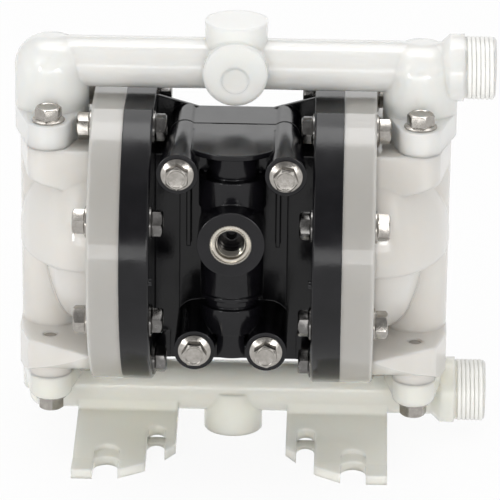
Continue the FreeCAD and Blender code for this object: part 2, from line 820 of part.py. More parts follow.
def ears(name, leg_radius, bottom, height, x):
    """A lozenge flange in plan: the leg's circle and two ear circles with tangent walls."""
    slope = (leg_radius - D.ear_radius) / EAR_Y
    away = root(1 - slope * slope)
    wide = leg_radius * away
    narrow = D.ear_radius * away
    shoulder = leg_radius * slope
    tip = EAR_Y + D.ear_radius * slope
    wall = padded(name + "_wall", [
        (x + wide, -shoulder), (x + wide, shoulder), (x + narrow, tip),
        (x - narrow, tip), (x - wide, shoulder), (x - wide, -shoulder),
        (x - narrow, -tip), (x + narrow, -tip),
    ], height, (0, 0, bottom))
    return [wall] + [rod("%s_ear_%d" % (name, number), D.ear_radius, height, (x, y_sign * EAR_Y, bottom))
                     for number, y_sign in enumerate((-1, 1))]


def ear_heels(name, bottom, x):
    """The rounded lower ends of the inlet ears."""
    heels = []
    for number, y_sign in enumerate((-1, 1)):
        heel = turned("%s_heel_%d" % (name, number), [
            (0, bottom), (D.ear_radius, bottom), (D.ear_radius, bottom + D.inlet_ear_round),
            (0, bottom + D.inlet_ear_round),
        ], (x, y_sign * EAR_Y, 0))
        heels.append(round_edges(
            heel, D.inlet_heel_round,
            lambda edge: edge.BoundBox.ZMax < bottom.value + FLAT and edge.BoundBox.XLength > D.ear_radius.value))
    return heels


def leg(name, radius, top, bottom, x):
    """An upright leg with a rounded head."""
    body = turned(name, [(0, bottom), (radius, bottom), (radius, top), (0, top)], (x, 0, 0))
    return round_edges(body, D.elbow_round, lambda edge: edge.BoundBox.ZMin > top.value - FLAT
                       and edge.BoundBox.XLength > radius.value)


def outlet_manifold():
    name = "outlet_manifold"
    height = OUTLET_PIPE
    crown = height + D.pipe_radius + D.leg_crown
    shapes = [rod(name + "_pipe", D.pipe_radius, D.tower_offset + D.port_reach - D.thread_length,
                  (-D.tower_offset, 0, height), "X")]
    shapes += port_end(name, height)
    shapes.append(rod(name + "_tee", D.tee_radius, D.tee_rise, (0, 0, height)))
    shapes.append(rod(name + "_tee_boss", D.tee_boss_radius, D.tee_boss_reach, (0, 0, height), "-Y"))
    tools = [rod(name + "_bore", D.pipe_bore_radius, D.tower_offset + D.port_reach,
                 (-D.tower_offset, 0, height), "X"),
             rod(name + "_dimple", D.tee_dimple_radius, D.tee_dimple_depth,
                 (0, -D.tee_boss_reach + D.tee_dimple_depth, height - D.tee_dimple_radius / 2), "-Y")]
    cage_top = OUTLET_FACE + CAGE_HEIGHT
    slot = D.flow_slot_width / 2
    for side_name, x in (("left", -D.tower_offset), ("right", D.tower_offset)):
        tag = name + "_" + side_name
        shapes.append(leg(tag + "_leg", D.leg_radius, crown, OUTLET_FACE, x))
        shapes += ears(tag, D.leg_radius, OUTLET_FACE, D.outlet_ear_height, x)
        tools.append(rod(tag + "_cage", D.cage_radius, CAGE_HEIGHT, (x, 0, OUTLET_FACE)))
        tools.append(rod(tag + "_throat", D.throat_radius, height - cage_top, (x, 0, cage_top)))
        for number, (dx, dy) in enumerate(((D.cage_radius, slot), (slot, D.cage_radius))):
            tools.append(block("%s_flow_%d" % (tag, number), (x - dx, -dy, cage_top - D.ball_lift),
                               (x + dx, dy, height - D.throat_radius)))
        for number, y_sign in enumerate((-1, 1)):
            tools.append(rod("%s_hole_%d" % (tag, number), BOLT_HOLE, D.outlet_ear_height,
                             (x, y_sign * EAR_Y, OUTLET_FACE)))
    keep(cut(name, fuse(name + "_solid", shapes), tools), name)


def foot(name):
    """The right-hand foot: a roof-shaped plate with flat toes and two bolt notches at each end."""
    length = D.foot_outer - D.foot_inner
    toe_top = FLOOR + D.foot_thickness
    heel = D.foot_reach - D.foot_flat
    root_height = INLET_PIPE - D.foot_root_drop
    inner_heel = heel - D.foot_wall / 2
    inner_root = root_height - D.foot_wall
    roof = padded(name + "_roof", [
        (-D.foot_reach, FLOOR), (-D.foot_reach, toe_top), (-heel, toe_top),
        (-D.foot_root_reach, root_height), (-D.foot_root_reach, INLET_PIPE),
        (D.foot_root_reach, INLET_PIPE), (D.foot_root_reach, root_height),
        (heel, toe_top), (D.foot_reach, toe_top), (D.foot_reach, FLOOR),
        (inner_heel, FLOOR), (D.foot_root_reach, inner_root), (-D.foot_root_reach, inner_root),
        (-inner_heel, FLOOR),
    ], length, (D.foot_inner, 0, 0), "YZ")
    height = INLET_PIPE - FLOOR
    plan = padded(name + "_plan", [
        (D.foot_inner, -D.foot_inner_reach), (D.foot_turn_middle, -D.foot_turn_middle_reach),
        (D.foot_turn_start, -D.foot_reach), (D.foot_outer, -D.foot_reach),
        (D.foot_outer, D.foot_reach), (D.foot_turn_start, D.foot_reach),
        (D.foot_turn_middle, D.foot_turn_middle_reach), (D.foot_inner, D.foot_inner_reach),
    ], height, (0, 0, FLOOR))
    notches = []
    for key, x, width, end in (
            ("outer", D.outer_notch_offset, D.outer_notch_width, D.outer_notch_end),
            ("inner", D.inner_notch_offset, D.inner_notch_width, D.inner_notch_end)):
        radius = width / 2
        for number, y_sign in enumerate((-1, 1)):
            tag = "%s_%s_%d" % (name, key, number)
            slot_y = y_sign * (end + radius)
            seat_y = y_sign * (end + radius - D.notch_seat_run)
            for layer, y, bottom in (("notch", slot_y, FLOOR), ("seat", seat_y, toe_top)):
                tall = INLET_PIPE - bottom
                tip = y_sign * D.foot_reach
                notches.append(rod(tag + "_" + layer + "_round", radius, tall, (x, y, bottom)))
                near, far = (y, tip) if y_sign > 0 else (tip, y)
                notches.append(block(tag + "_" + layer, (x - radius, near, bottom),
                                     (x + radius, far, INLET_PIPE)))
    return cut(name, common(name + "_solid", [roof, plan]), notches)


def inlet_manifold():
    name = "inlet_manifold"
    height = INLET_PIPE
    pipe = turned(name + "_pipe", [
        (0, -D.inlet_pipe_end), (D.pipe_radius, -D.inlet_pipe_end),
        (D.pipe_radius, D.port_reach - D.thread_length), (0, D.port_reach - D.thread_length),
    ], (0, 0, height), "X")
    round_edges(pipe, D.inlet_pipe_round, lambda edge: edge.BoundBox.ZMax < -D.inlet_pipe_end.value + FLAT
                and edge.BoundBox.XLength > D.pipe_radius.value)
    shapes = [pipe]
    shapes += port_end(name, height)
    drain_bottom = FLOOR + D.drain_clearance
    shapes.append(rod(name + "_drain", D.drain_radius, height - drain_bottom, (0, 0, drain_bottom)))
    bore_start = -D.tower_offset
    tools = [rod(name + "_bore", D.pipe_bore_radius, D.port_reach - bore_start, (bore_start, 0, height), "X")]
    seat_hole = D.seat_radius + D.running_gap
    gland_depth = D.ring_section * 2
    ear_bottom = INLET_FACE - D.inlet_ear_height
    for side_name, sign in (("left", -1), ("right", 1)):
        tag = name + "_" + side_name
        x = sign * D.tower_offset
        shapes.append(rod(tag + "_leg", D.tower_radius, INLET_FACE - height, (x, 0, height)))
        ear_root = ear_bottom + D.inlet_ear_round
        shapes += ears(tag, D.tower_radius, ear_root, D.inlet_ear_height - D.inlet_ear_round, x)
        shapes += ear_heels(tag, ear_bottom, x)
        foot_shape = foot(tag + "_foot")
        if sign < 0:
            foot_shape.Placement = FreeCAD.Placement(FreeCAD.Vector(), HALF_TURN)
        shapes.append(foot_shape)
        tools.append(rod(tag + "_seat", seat_hole, D.seat_height, (x, 0, INLET_FACE - D.seat_height)))
        tools.append(rod(tag + "_gland", D.ring_radius + gland_depth, gland_depth,
                         (x, 0, INLET_FACE - D.seat_height - gland_depth)))
        tools.append(rod(tag + "_riser", D.throat_radius, INLET_FACE - height, (x, 0, height)))
        for number, y_sign in enumerate((-1, 1)):
            tools.append(rod("%s_hole_%d" % (tag, number), BOLT_HOLE, D.inlet_ear_height,
                             (x, y_sign * EAR_Y, ear_bottom)))
    keep(cut(name, fuse(name + "_solid", shapes), tools), name)


# Check valves

def check_valve(key, side_name, side, face):
    """A seat with its sealing ring, and the ball that rests on it."""
    tag = "%s_%s" % (key, side_name)
    x = D.tower_offset
    seat = turned("seat_" + tag, [
        (D.seat_bore_radius, -D.seat_height), (D.seat_radius, -D.seat_height),
        (D.seat_radius, 0), (D.seat_bore_radius, 0),
    ])
    keep(seat, "seat_" + tag, (x, 0, face), side)
    seal = seal_ring("seat_ring_" + tag, D.ring_radius, D.ring_section, (0, 0, 0))
    keep(seal, "seat_ring_" + tag, (x, 0, face - D.seat_height - D.ring_section), side)
    ball = sphere("ball_" + tag, D.ball_radius, (0, 0, 0))
    keep(ball, "ball_" + tag, (x, 0, face + SEAT_LIFT), side)


# Diaphragm rod and what it carries

def diaphragm(side_name, side):
    name = "diaphragm_" + side_name
    low = D.clamp_offset - RIM_HALF
    high = D.clamp_offset + RIM_HALF
    keep(turned(name, [
        (D.screw_radius + D.running_gap, HUB_INNER), (PLATE_RADIUS, HUB_INNER),
        (RIM_SEAT, low), (RIM_RADIUS, low), (RIM_RADIUS, high),
        (RIM_SEAT - D.rim_thickness / 2, high),
        (PLATE_RADIUS + D.rim_thickness / 2, HUB_OUTER), (D.screw_radius + D.running_gap, HUB_OUTER),
    ], along="X"), name, side=side)


def rod_group():
    bore = D.screw_radius + D.running_gap
    depth = D.screw_length - D.plate_thickness - D.diaphragm_thickness - D.outer_plate_thickness + D.tap_overrun
    main = rod("diaphragm_rod_bar", D.rod_radius, ROD_END * 2, (-ROD_END, 0, 0), "X")
    taps = [rod("diaphragm_rod_tap_left", bore, depth, (-ROD_END, 0, 0), "X"),
            rod("diaphragm_rod_tap_right", bore, depth, (ROD_END - depth, 0, 0), "X")]
    keep(cut("diaphragm_rod", main, taps), "diaphragm_rod")
    outer_face = HUB_OUTER + D.outer_plate_thickness
    for side_name, side in SIDES:
        keep(turned("inner_plate_" + side_name, [
            (bore, ROD_END), (PLATE_RADIUS - D.plate_bevel_run, ROD_END),
            (PLATE_RADIUS, ROD_END + D.plate_bevel), (PLATE_RADIUS, HUB_INNER), (bore, HUB_INNER),
        ], along="X"), "inner_plate_" + side_name, side=side)
        keep(turned("outer_plate_" + side_name, [
            (bore, HUB_OUTER), (PLATE_RADIUS, HUB_OUTER), (PLATE_RADIUS, outer_face - D.plate_bevel),
            (PLATE_RADIUS - D.plate_bevel_run, outer_face), (bore, outer_face),
        ], along="X"), "outer_plate_" + side_name, side=side)
        screw = "plate_screw_" + side_name
        keep(fuse(screw, [
            hexagon(screw + "_head", D.head_across_flats, D.head_height, (outer_face, 0, 0), "X"),
            rod(screw + "_shank", D.screw_radius, D.screw_length, (outer_face, 0, 0), "-X"),
        ]), screw, side=side)
        diaphragm(side_name, side)
        keep(turned("rod_bushing_" + side_name, [
            (D.rod_radius + D.running_gap, AIR_INNER - D.bushing_length),
            (D.bushing_radius, AIR_INNER - D.bushing_length),
            (D.bushing_radius, AIR_INNER), (D.rod_radius + D.running_gap, AIR_INNER),
        ], along="X"), "rod_bushing_" + side_name, side=side)
        keep(turned("rod_seal_" + side_name, [
            (D.rod_radius + D.running_gap, AIR_INNER), (D.bushing_radius, AIR_INNER),
            (D.bushing_radius, AIR_INNER + D.seal_length),
            (D.rod_radius + D.running_gap, AIR_INNER + D.seal_length),
        ], along="X"), "rod_seal_" + side_name, side=side)


def pilot_group():
    keep(rod("pilot_rod_bar", D.pilot_radius, D.pilot_reach * 2, (0, 0, 0), "X"), "pilot_rod",
         (-D.pilot_reach, 0, D.pilot_height))
    for side_name, side in SIDES:
        keep(turned("pilot_bushing_" + side_name, [
            (D.pilot_radius + D.running_gap, AIR_INNER - D.pilot_bushing_length),
            (D.pilot_bushing_radius, AIR_INNER - D.pilot_bushing_length),
            (D.pilot_bushing_radius, AIR_INNER), (D.pilot_radius + D.running_gap, AIR_INNER),
        ], along="X"), "pilot_bushing_" + side_name, (0, 0, D.pilot_height), side)


# Centre body and valve block

def nut_rooms(name):
    """Clearance beside the air caps for the nuts next to the body, and for a spanner on them."""
    length = D.nut_height + D.bolt_overhang + D.slip_gap
    rooms = []
    for side_name, side in SIDES:
        start = side * AIR_INNER - length * ((1 + side) / 2)
        for number, (y, z) in enumerate(around(D.cap_bolt_count, BOLT_CIRCLE)):
            rooms.append(rod("%s_room_%s_%d" % (name, side_name, number), D.head_flange_radius + D.nut_room,
                             length, (start, y, z), "X"))
    return rooms


def boss_spots():
    return [(sign * spread / 2, height)
            for spread, height in ((D.upper_boss_spread, UPPER_BOSS), (D.lower_boss_spread, LOWER_BOSS))
            for sign in (-1, 1)]


def heel_offset():
    return D.upper_boss_spread / 2 - D.boss_heel_inset


def circle(name, radius, at):
    """A wire circle that faces the front."""
    thing = doc.addObject("Part::Circle", name)
    bind(thing, "Radius", radius)
    return set_at(thing, at, ALONG["Y"])


def upper_boss(name, sign):
    """A screw boss that narrows towards the gasket, with its top edge kept level."""
    loft = doc.addObject("Part::Loft", name)
    loft.Sections = [
        circle(name + "_mouth", D.boss_radius, (sign * D.upper_boss_spread / 2, -D.boss_face, UPPER_BOSS)),
        circle(name + "_heel", D.boss_heel_radius,
               (sign * heel_offset(), BLOCK_BACK, UPPER_BOSS + D.boss_heel_rise)),
    ]
    loft.Solid = True
    loft.Ruled = True
    return loft


def gusset(name, sign, front):
    """A thin sloping web that ties the body's lower corner to the air cap."""
    outer = sign * AIR_INNER
    inner = sign * D.body_half_width
    high = BODY_BOTTOM + D.gusset_drop + (AIR_INNER - D.body_half_width)
    low = BODY_BOTTOM + D.gusset_drop
    return padded(name, [
        (outer, low), (inner, high), (inner, high - D.gusset_thickness), (outer, low - D.gusset_thickness),
    ], D.gusset_depth, (0, front + D.gusset_depth, 0), "XZ")


def rear_web(name, sign):
    """A thin web at the rear that climbs from the body's top to the air cap."""
    drum_top = CAP_FLAT - D.drum_top_drop
    return padded(name, [
        (sign * D.web_offset, drum_top), (sign * AIR_INNER, drum_top),
        (sign * AIR_INNER, CAP_FLAT - D.web_top_drop), (sign * D.web_offset, BODY_TOP),
    ], D.web_thickness, (0, D.body_half_depth, 0), "XZ")


def body_plan():
    """The body seen from the front: a drum between the caps with narrower ends above and below."""
    drum_top = CAP_FLAT - D.drum_top_drop
    drum_bottom = BODY_BOTTOM + D.drum_bottom_rise
    heel_x = D.upper_boss_spread / 2 - D.boss_heel_inset
    half = D.body_half_width
    right = [
        (half, BODY_BOTTOM), (half, drum_bottom), (AIR_INNER, drum_bottom), (AIR_INNER, drum_top),
        (half, drum_top), (half, UPPER_BOSS + D.boss_heel_rise), (heel_x, BODY_TOP),
    ]
    return right + [(-x, z) for x, z in reversed(right)]


def centre_body():
    """The black body between the air caps, with rear webs above and gussets below."""
    name = "centre_body"
    depth = D.body_half_depth * 2
    shapes = [padded(name + "_plate", body_plan(), depth, (0, D.body_half_depth, 0), "XZ")]
    tools = [
        rod(name + "_rod_bore", D.rod_radius + D.slip_gap, AIR_INNER * 2, (-AIR_INNER, 0, 0), "X"),
        rod(name + "_pilot_bore", D.pilot_radius + D.slip_gap, AIR_INNER * 2,
            (-AIR_INNER, 0, D.pilot_height), "X"),
        rod(name + "_exhaust", D.exhaust_bore_radius, D.body_half_depth,
            (0, 0, D.exhaust_height), "Y"),
    ]
    for side_name, side in SIDES:
        start = side * AIR_INNER - D.bushing_length * ((1 + side) / 2)
        tools.append(rod(name + "_bushing_" + side_name, D.bushing_radius + D.running_gap, D.bushing_length,
                         (start, 0, 0), "X"))
        start = side * AIR_INNER - D.pilot_bushing_length * ((1 + side) / 2)
        tools.append(rod(name + "_pilot_bushing_" + side_name, D.pilot_bushing_radius + D.running_gap,
                         D.pilot_bushing_length, (start, 0, D.pilot_height), "X"))
        shapes.append(rear_web(name + "_web_" + side_name, side))
        shapes.append(gusset(name + "_gusset_front_" + side_name, side, GASKET_FACE))
        shapes.append(gusset(name + "_gusset_rear_" + side_name, side, D.body_half_depth - D.gusset_depth))
        shapes.append(rod(name + "_shoulder_" + side_name, D.boss_heel_radius, depth,
                          (side * heel_offset(), GASKET_FACE, UPPER_BOSS + D.boss_heel_rise), "Y"))
        shapes.append(rod(name + "_foot_" + side_name, D.boss_radius, depth,
                          (side * D.lower_boss_spread / 2, GASKET_FACE, LOWER_BOSS), "Y"))
    for number, (x, z) in enumerate(boss_spots()):
        tools.append(rod("%s_tap_%d" % (name, number), D.bolt_radius + D.running_gap, D.screw_bury,
                         (x, GASKET_FACE, z), "Y"))
    for number, (x, z) in enumerate(cover_spots()):
        tools.append(rod("%s_cover_tap_%d" % (name, number), D.cover_screw_radius + D.running_gap,
                         D.cover_screw_bite + D.tap_overrun, (x, D.body_half_depth, z), "-Y"))
    keep(cut(name, fuse(name + "_solid", shapes), tools + nut_rooms(name)), name)


def base_outline():
    half = D.base_width / 2
    return [(-half, BASE_BOTTOM), (half, BASE_BOTTOM), (half, BODY_TOP), (-half, BODY_TOP)]


def base_holes(name, front, length):
    return [rod("%s_hole_%d" % (name, number), BOLT_HOLE, length, (x, front, z), "Y")
            for number, (x, z) in enumerate(boss_spots())]


def gasket():
    """The flat gasket, dipped along its top edge between the bosses."""
    name = "valve_block_gasket"
    thickness = D.gasket_thickness
    shapes = [padded(name + "_plate", base_outline(), thickness, (0, GASKET_FACE, 0), "XZ")]
    for side_name, side in SIDES:
        shapes.append(rod(name + "_shoulder_" + side_name, D.boss_heel_radius, thickness,
                          (side * heel_offset(), BLOCK_BACK, UPPER_BOSS + D.boss_heel_rise), "Y"))
        shapes.append(rod(name + "_foot_" + side_name, D.boss_radius, thickness,
                          (side * D.lower_boss_spread / 2, BLOCK_BACK, LOWER_BOSS), "Y"))
    half = D.valve_plate_width / 2
    reach = D.valve_plate_height / 2
    window = block(name + "_window", (-half, BLOCK_BACK, -reach), (half, GASKET_FACE, reach))
    reach = D.gasket_dip_width / 2
    bend = (reach * reach + D.gasket_dip * D.gasket_dip) / (2 * D.gasket_dip)
    dip = rod(name + "_dip", bend, thickness, (0, BLOCK_BACK, BODY_TOP - D.gasket_dip + bend), "Y")
    keep(cut(name, fuse(name + "_solid", shapes),
             base_holes(name, BLOCK_BACK, thickness) + [window, dip]), name)


def barrel(name, front):
    """The barrel the spool runs in: a head under a neck, a seam, a groove and a narrow tail."""
    groove = BARREL_BOTTOM + D.groove_rise
    seam = BARREL_BOTTOM + D.seam_rise
    deep = D.barrel_radius - D.groove_depth
    body = turned(name, [
        (0, BLOCK_BOTTOM), (D.tail_width / 2, BLOCK_BOTTOM), (D.tail_width / 2, BARREL_BOTTOM),
        (D.barrel_radius, BARREL_BOTTOM), (D.barrel_radius, groove), (deep, groove),
        (deep, groove + D.groove_width), (D.barrel_radius, groove + D.groove_width),
        (D.barrel_radius, seam), (D.barrel_radius - D.seam_depth, seam),
        (D.barrel_radius - D.seam_depth, seam + D.seam_width), (D.barrel_radius, seam + D.seam_width),
        (D.barrel_radius, BARREL_STEP), (D.barrel_top_radius, BARREL_STEP),
        (D.barrel_top_radius, BARREL_TOP), (D.neck_radius, BARREL_TOP),
        (D.neck_radius, BODY_TOP), (0, BODY_TOP),
    ], (0, front, 0))
    half = D.tail_width / 2
    tail = common(name + "_tail", [
        rod(name + "_tail_round", D.tail_radius, BARREL_BOTTOM - BLOCK_BOTTOM + D.tail_drop,
            (0, front, BLOCK_BOTTOM - D.tail_drop)),
        block(name + "_tail_span", (-half, front - D.tail_radius, BLOCK_BOTTOM - D.tail_drop),
              (half, front, BARREL_BOTTOM)),
    ])
    return [body, tail]


def side_walls(name, front):
    """Ribs on the base, and webs from the barrel's middle out to each boss."""
    shapes = []
    tall = D.boss_radius * 2 - D.web_shrink * 2
    for number, sign in enumerate((-1, 1)):
        x = sign * D.rib_offset
        shapes.append(block("%s_rib_%d" % (name, number),
                            (x - D.rib_width / 2, BLOCK_BACK - D.base_depth - D.rib_depth,
                             AIR_INLET - D.rib_bottom_drop),
                            (x + D.rib_width / 2, BLOCK_BACK, BARREL_TOP - D.rib_top_drop)))
    for key, spread, height in (
            ("upper", D.upper_boss_spread, UPPER_BOSS), ("lower", D.lower_boss_spread, LOWER_BOSS)):
        shapes.append(block("%s_web_%s" % (name, key), (-spread / 2, front, height - tall / 2),
                            (spread / 2, BLOCK_BACK, height + tall / 2)))
    return shapes


def top_slab(name):
    """The slab over the barrel, its front edge a shallow arc."""
    floor = BODY_TOP - D.slab_thickness
    return common(name, [
        rod(name + "_curve", D.slab_curve_radius, D.slab_thickness, (0, D.slab_curve_radius - D.slab_front, floor)),
        block(name + "_span", (-D.slab_width / 2, -D.slab_front, floor), (D.slab_width / 2, BLOCK_BACK, BODY_TOP)),
    ])


def valve_block():
    """The air valve housing: a grooved barrel in front of a flanged base, with the air inlet boss."""
    name = "valve_block"
    front = -D.barrel_offset
    depth = BLOCK_BACK + D.boss_face
    half_column = D.column_width / 2
    shapes = [
        padded(name + "_base", base_outline(), D.base_depth, (0, BLOCK_BACK, 0), "XZ"),
        block(name + "_column", (-half_column, front, BLOCK_BOTTOM), (half_column, BLOCK_BACK, BODY_TOP)),
        top_slab(name + "_slab"),
        rod(name + "_air_boss", D.air_boss_radius, D.air_boss_face - D.barrel_offset, (0, front, AIR_INLET), "-Y"),
    ]
    shapes += barrel(name + "_barrel", front)
    shapes += side_walls(name, front)
    for side_name, side in SIDES:
        shapes.append(upper_boss(name + "_upper_boss_" + side_name, side))
        shapes.append(rod(name + "_lower_boss_" + side_name, D.boss_radius, depth,
                          (side * D.lower_boss_spread / 2, BLOCK_BACK, LOWER_BOSS), "-Y"))
    half = D.valve_plate_width / 2
    reach = D.valve_plate_height / 2
    tools = base_holes(name, -D.boss_face, depth)
    tools += [
        rod(name + "_spool_bore", D.spool_bore_radius, SPOOL_TOP - BLOCK_BOTTOM, (0, front, BLOCK_BOTTOM)),
        block(name + "_valve_chest", (-half, front, -reach), (half, BLOCK_BACK, reach)),
        rod(name + "_insert_bore", D.insert_radius, D.insert_length, (0, -D.air_boss_face, AIR_INLET), "Y"),
        rod(name + "_air_drill", D.air_drill_radius, D.air_boss_face - D.barrel_offset,
            (0, -D.air_boss_face, AIR_INLET), "Y"),
    ]
    keep(cut(name, fuse(name + "_solid", shapes), tools + nut_rooms(name)), name)


def valve_block_fittings():
    face = -D.air_boss_face
    keep(turned("air_inlet_insert", [
        (D.insert_mouth_radius, -D.insert_proud), (D.insert_radius, -D.insert_proud),
        (D.insert_radius, D.insert_length), (D.insert_bore_radius, D.insert_length),
        (D.insert_bore_radius, D.insert_mouth_depth),
    ], along="Y"), "air_inlet_insert", (0, face, AIR_INLET))
    depth = BLOCK_BACK + D.boss_face + D.gasket_thickness
    screws = [flange_bolt("valve_block_screw_%d" % number, depth + D.screw_bury - D.slip_gap,
                          (x, -D.boss_face, z), "-Y") for number, (x, z) in enumerate(boss_spots())]
    keep(group("valve_block_screws", screws), "valve_block_screws")
    keep(turned("valve_end_plug", [
        (0, BLOCK_BOTTOM), (D.spool_bore_radius, BLOCK_BOTTOM),
        (D.spool_bore_radius, BLOCK_BOTTOM + D.plug_height), (0, BLOCK_BOTTOM + D.plug_height),
    ]), "valve_end_plug", (0, -D.barrel_offset, 0))


def air_valve():
    """Fixed valve plate, and the spool that carries the slider up and down."""
    half = D.valve_plate_width / 2 - D.running_gap
    reach = D.valve_plate_height / 2 - D.running_gap
    plate_back = GASKET_FACE
    plate_front = GASKET_FACE - D.valve_plate_thickness
    plate = block("valve_plate_blank", (-half, plate_front, -reach), (half, plate_back, reach))
    ports = [rod("valve_plate_port_%d" % number, D.air_drill_radius, D.valve_plate_thickness,
                 (0, plate_front, height), "Y")
             for number, height in enumerate((-D.slider_height / 2, 0, D.slider_height / 2))]
    keep(cut("valve_plate", plate, ports), "valve_plate")
    rest = BLOCK_BOTTOM + D.plug_height + D.running_gap
    top = SPOOL_TOP - D.spool_travel - D.running_gap
    land = D.spool_bore_radius - D.running_gap
    groove = land - D.spool_ring_section * 2
    middle = (rest + top) / 2
    waist = D.slider_tongue / 2 + D.running_gap
    width = D.spool_ring_section * 2 + D.running_gap
    profile = [(0, rest)]
    for start, sign in ((rest, 1), (top, -1)):
        stretch = [
            (land, start), (land, start + sign * D.spool_land), (groove, start + sign * D.spool_land),
            (groove, start + sign * (D.spool_land + width)), (land, start + sign * (D.spool_land + width)),
            (land, middle - sign * waist), (D.spool_waist_radius, middle - sign * waist),
        ]
        profile += stretch[::sign]
    profile.append((0, top))
    keep(turned("valve_spool", profile), "valve_spool", (0, -D.barrel_offset, 0))
    rings = [seal_ring("spool_ring_%d" % number, land - D.spool_ring_section, D.spool_ring_section - D.running_gap,
                  (0, -D.barrel_offset, height))
             for number, height in enumerate((rest + D.spool_land + width / 2, top - D.spool_land - width / 2))]
    keep(group("spool_rings", rings), "spool_rings")
    slider_front = plate_front - D.slider_depth
    wide = D.slider_width / 2
    tall = D.slider_height / 2
    shoe = block("valve_slider_shoe", (-wide, slider_front, middle - tall), (wide, plate_front, middle + tall))
    tongue = block("valve_slider_tongue",
                   (-D.spool_waist_radius, -D.barrel_offset + D.spool_waist_radius + D.running_gap,
                    middle - D.slider_tongue / 2),
                   (D.spool_waist_radius, slider_front, middle + D.slider_tongue / 2))
    cup = block("valve_slider_cup",
                (-wide + D.slider_wall, plate_front - D.slider_cup_depth, middle - tall + D.slider_wall),
                (wide - D.slider_wall, plate_front, middle + tall - D.slider_wall))
    keep(cut("valve_slider", fuse("valve_slider_solid", [shoe, tongue]), [cup]), "valve_slider")


# Exhaust at the rear

def cover_spots():
    return [(x_sign * (D.cover_width / 2 - D.cover_screw_inset),
             D.exhaust_height + z_sign * (D.cover_height / 2 - D.cover_screw_inset))
            for x_sign in (-1, 1) for z_sign in (-1, 1)]


def exhaust():
    rear = D.body_half_depth
    half = D.cover_width / 2
    reach = D.cover_height / 2
    face = rear + D.cover_thickness
    mouth = face + D.exhaust_boss_length
    name = "exhaust_cover"
    plate = padded(name + "_plate", [
        (-half, D.exhaust_height - reach), (half, D.exhaust_height - reach),
        (half, D.exhaust_height + reach), (-half, D.exhaust_height + reach),
    ], D.cover_thickness, (0, face, 0), "XZ")
    round_edges(plate, D.cover_screw_inset, is_upright)
    boss = rod(name + "_boss", D.exhaust_boss_radius, D.exhaust_boss_length, (0, face, D.exhaust_height), "Y")
    tools = [rod("%s_hole_%d" % (name, number), D.cover_screw_radius + D.slip_gap, D.cover_thickness,
                 (x, rear, z), "Y") for number, (x, z) in enumerate(cover_spots())]
    tools.append(rod(name + "_bore", D.exhaust_bore_radius, mouth - rear, (0, rear, D.exhaust_height), "Y"))
    keep(cut(name, fuse(name + "_solid", [plate, boss]), tools), name)
    screws = [fuse("cover_screw_%d" % number, [
        rod("cover_screw_head_%d" % number, D.cover_screw_head, D.cover_screw_radius, (x, face, z), "Y"),
        rod("cover_screw_shank_%d" % number, D.cover_screw_radius, D.cover_thickness + D.cover_screw_bite,
            (x, face, z), "-Y"),
    ]) for number, (x, z) in enumerate(cover_spots())]
    keep(group("cover_screws", screws), "cover_screws")
    profile = [(0, mouth - D.muffler_neck_length), (D.muffler_neck_radius, mouth - D.muffler_neck_length),
               (D.muffler_neck_radius, mouth)]
    pitch = D.muffler_length / (D.muffler_slot_count + 1)
    profile.append((D.muffler_radius, mouth))
    for number in range(int(D.muffler_slot_count.value)):
        centre = mouth + pitch * (number + 1)
        profile += [(D.muffler_radius, centre - D.muffler_slot_width / 2),
                    (D.muffler_core_radius, centre - D.muffler_slot_width / 2),
                    (D.muffler_core_radius, centre + D.muffler_slot_width / 2),
                    (D.muffler_radius, centre + D.muffler_slot_width / 2)]
    end = mouth + D.muffler_length
    profile += [(D.muffler_radius, end - D.edge_break), (D.muffler_radius - D.edge_break, end), (0, end)]
    keep(turned("muffler", profile, along="Y"), "muffler", (0, 0, D.exhaust_height))


def build():
    centre_body()
    gasket()
    valve_block()
    valve_block_fittings()
    air_valve()
    exhaust()
    rod_group()
    pilot_group()
    outlet_manifold()
    inlet_manifold()
    manifold_hardware()
    for side_name, side in SIDES:
        air_cap(side_name, side)
        fluid_cap(side_name, side)
        cap_hardware(side_name, side)
        check_valve("outlet", side_name, side, OUTLET_FACE)
        check_valve("inlet", side_name, side, INLET_FACE)
    doc.recompute()


def write_steps():
    """Stops on any failed feature, then writes one file for each piece."""
    failed = [item.Name for item in doc.Objects if "Invalid" in item.State or "Error" in item.State]
    if failed:
        raise RuntimeError("failed features: " + ", ".join(failed))
    for thing in pieces:
        if thing.Shape.isNull() or not thing.Shape.isValid():
            raise RuntimeError("no valid shape: " + thing.Label)
    os.makedirs("parts", exist_ok=True)
    for thing in pieces:
        thing.Shape.exportStep("parts/%s.step" % thing.Label)


build()
write_steps()
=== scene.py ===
import math

import bmesh
import bpy
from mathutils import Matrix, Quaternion, Vector


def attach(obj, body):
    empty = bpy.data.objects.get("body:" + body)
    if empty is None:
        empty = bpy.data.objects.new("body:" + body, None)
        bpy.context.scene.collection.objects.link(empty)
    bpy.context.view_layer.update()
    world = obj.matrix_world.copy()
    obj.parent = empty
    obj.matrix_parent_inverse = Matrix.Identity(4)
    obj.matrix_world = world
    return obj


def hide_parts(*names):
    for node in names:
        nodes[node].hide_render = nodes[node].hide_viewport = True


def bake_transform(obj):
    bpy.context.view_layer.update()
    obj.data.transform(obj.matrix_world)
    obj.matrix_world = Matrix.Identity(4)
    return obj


# Air operated diaphragm pump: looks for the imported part. Metres, +Z up, floor at zero.
# Sizes named _MM are measured in millimetres from the pump centre, as the part's are.
MM = 0.001
PUMP_CENTRE = Vector((-7.65, 0.0, 91.6)) * MM

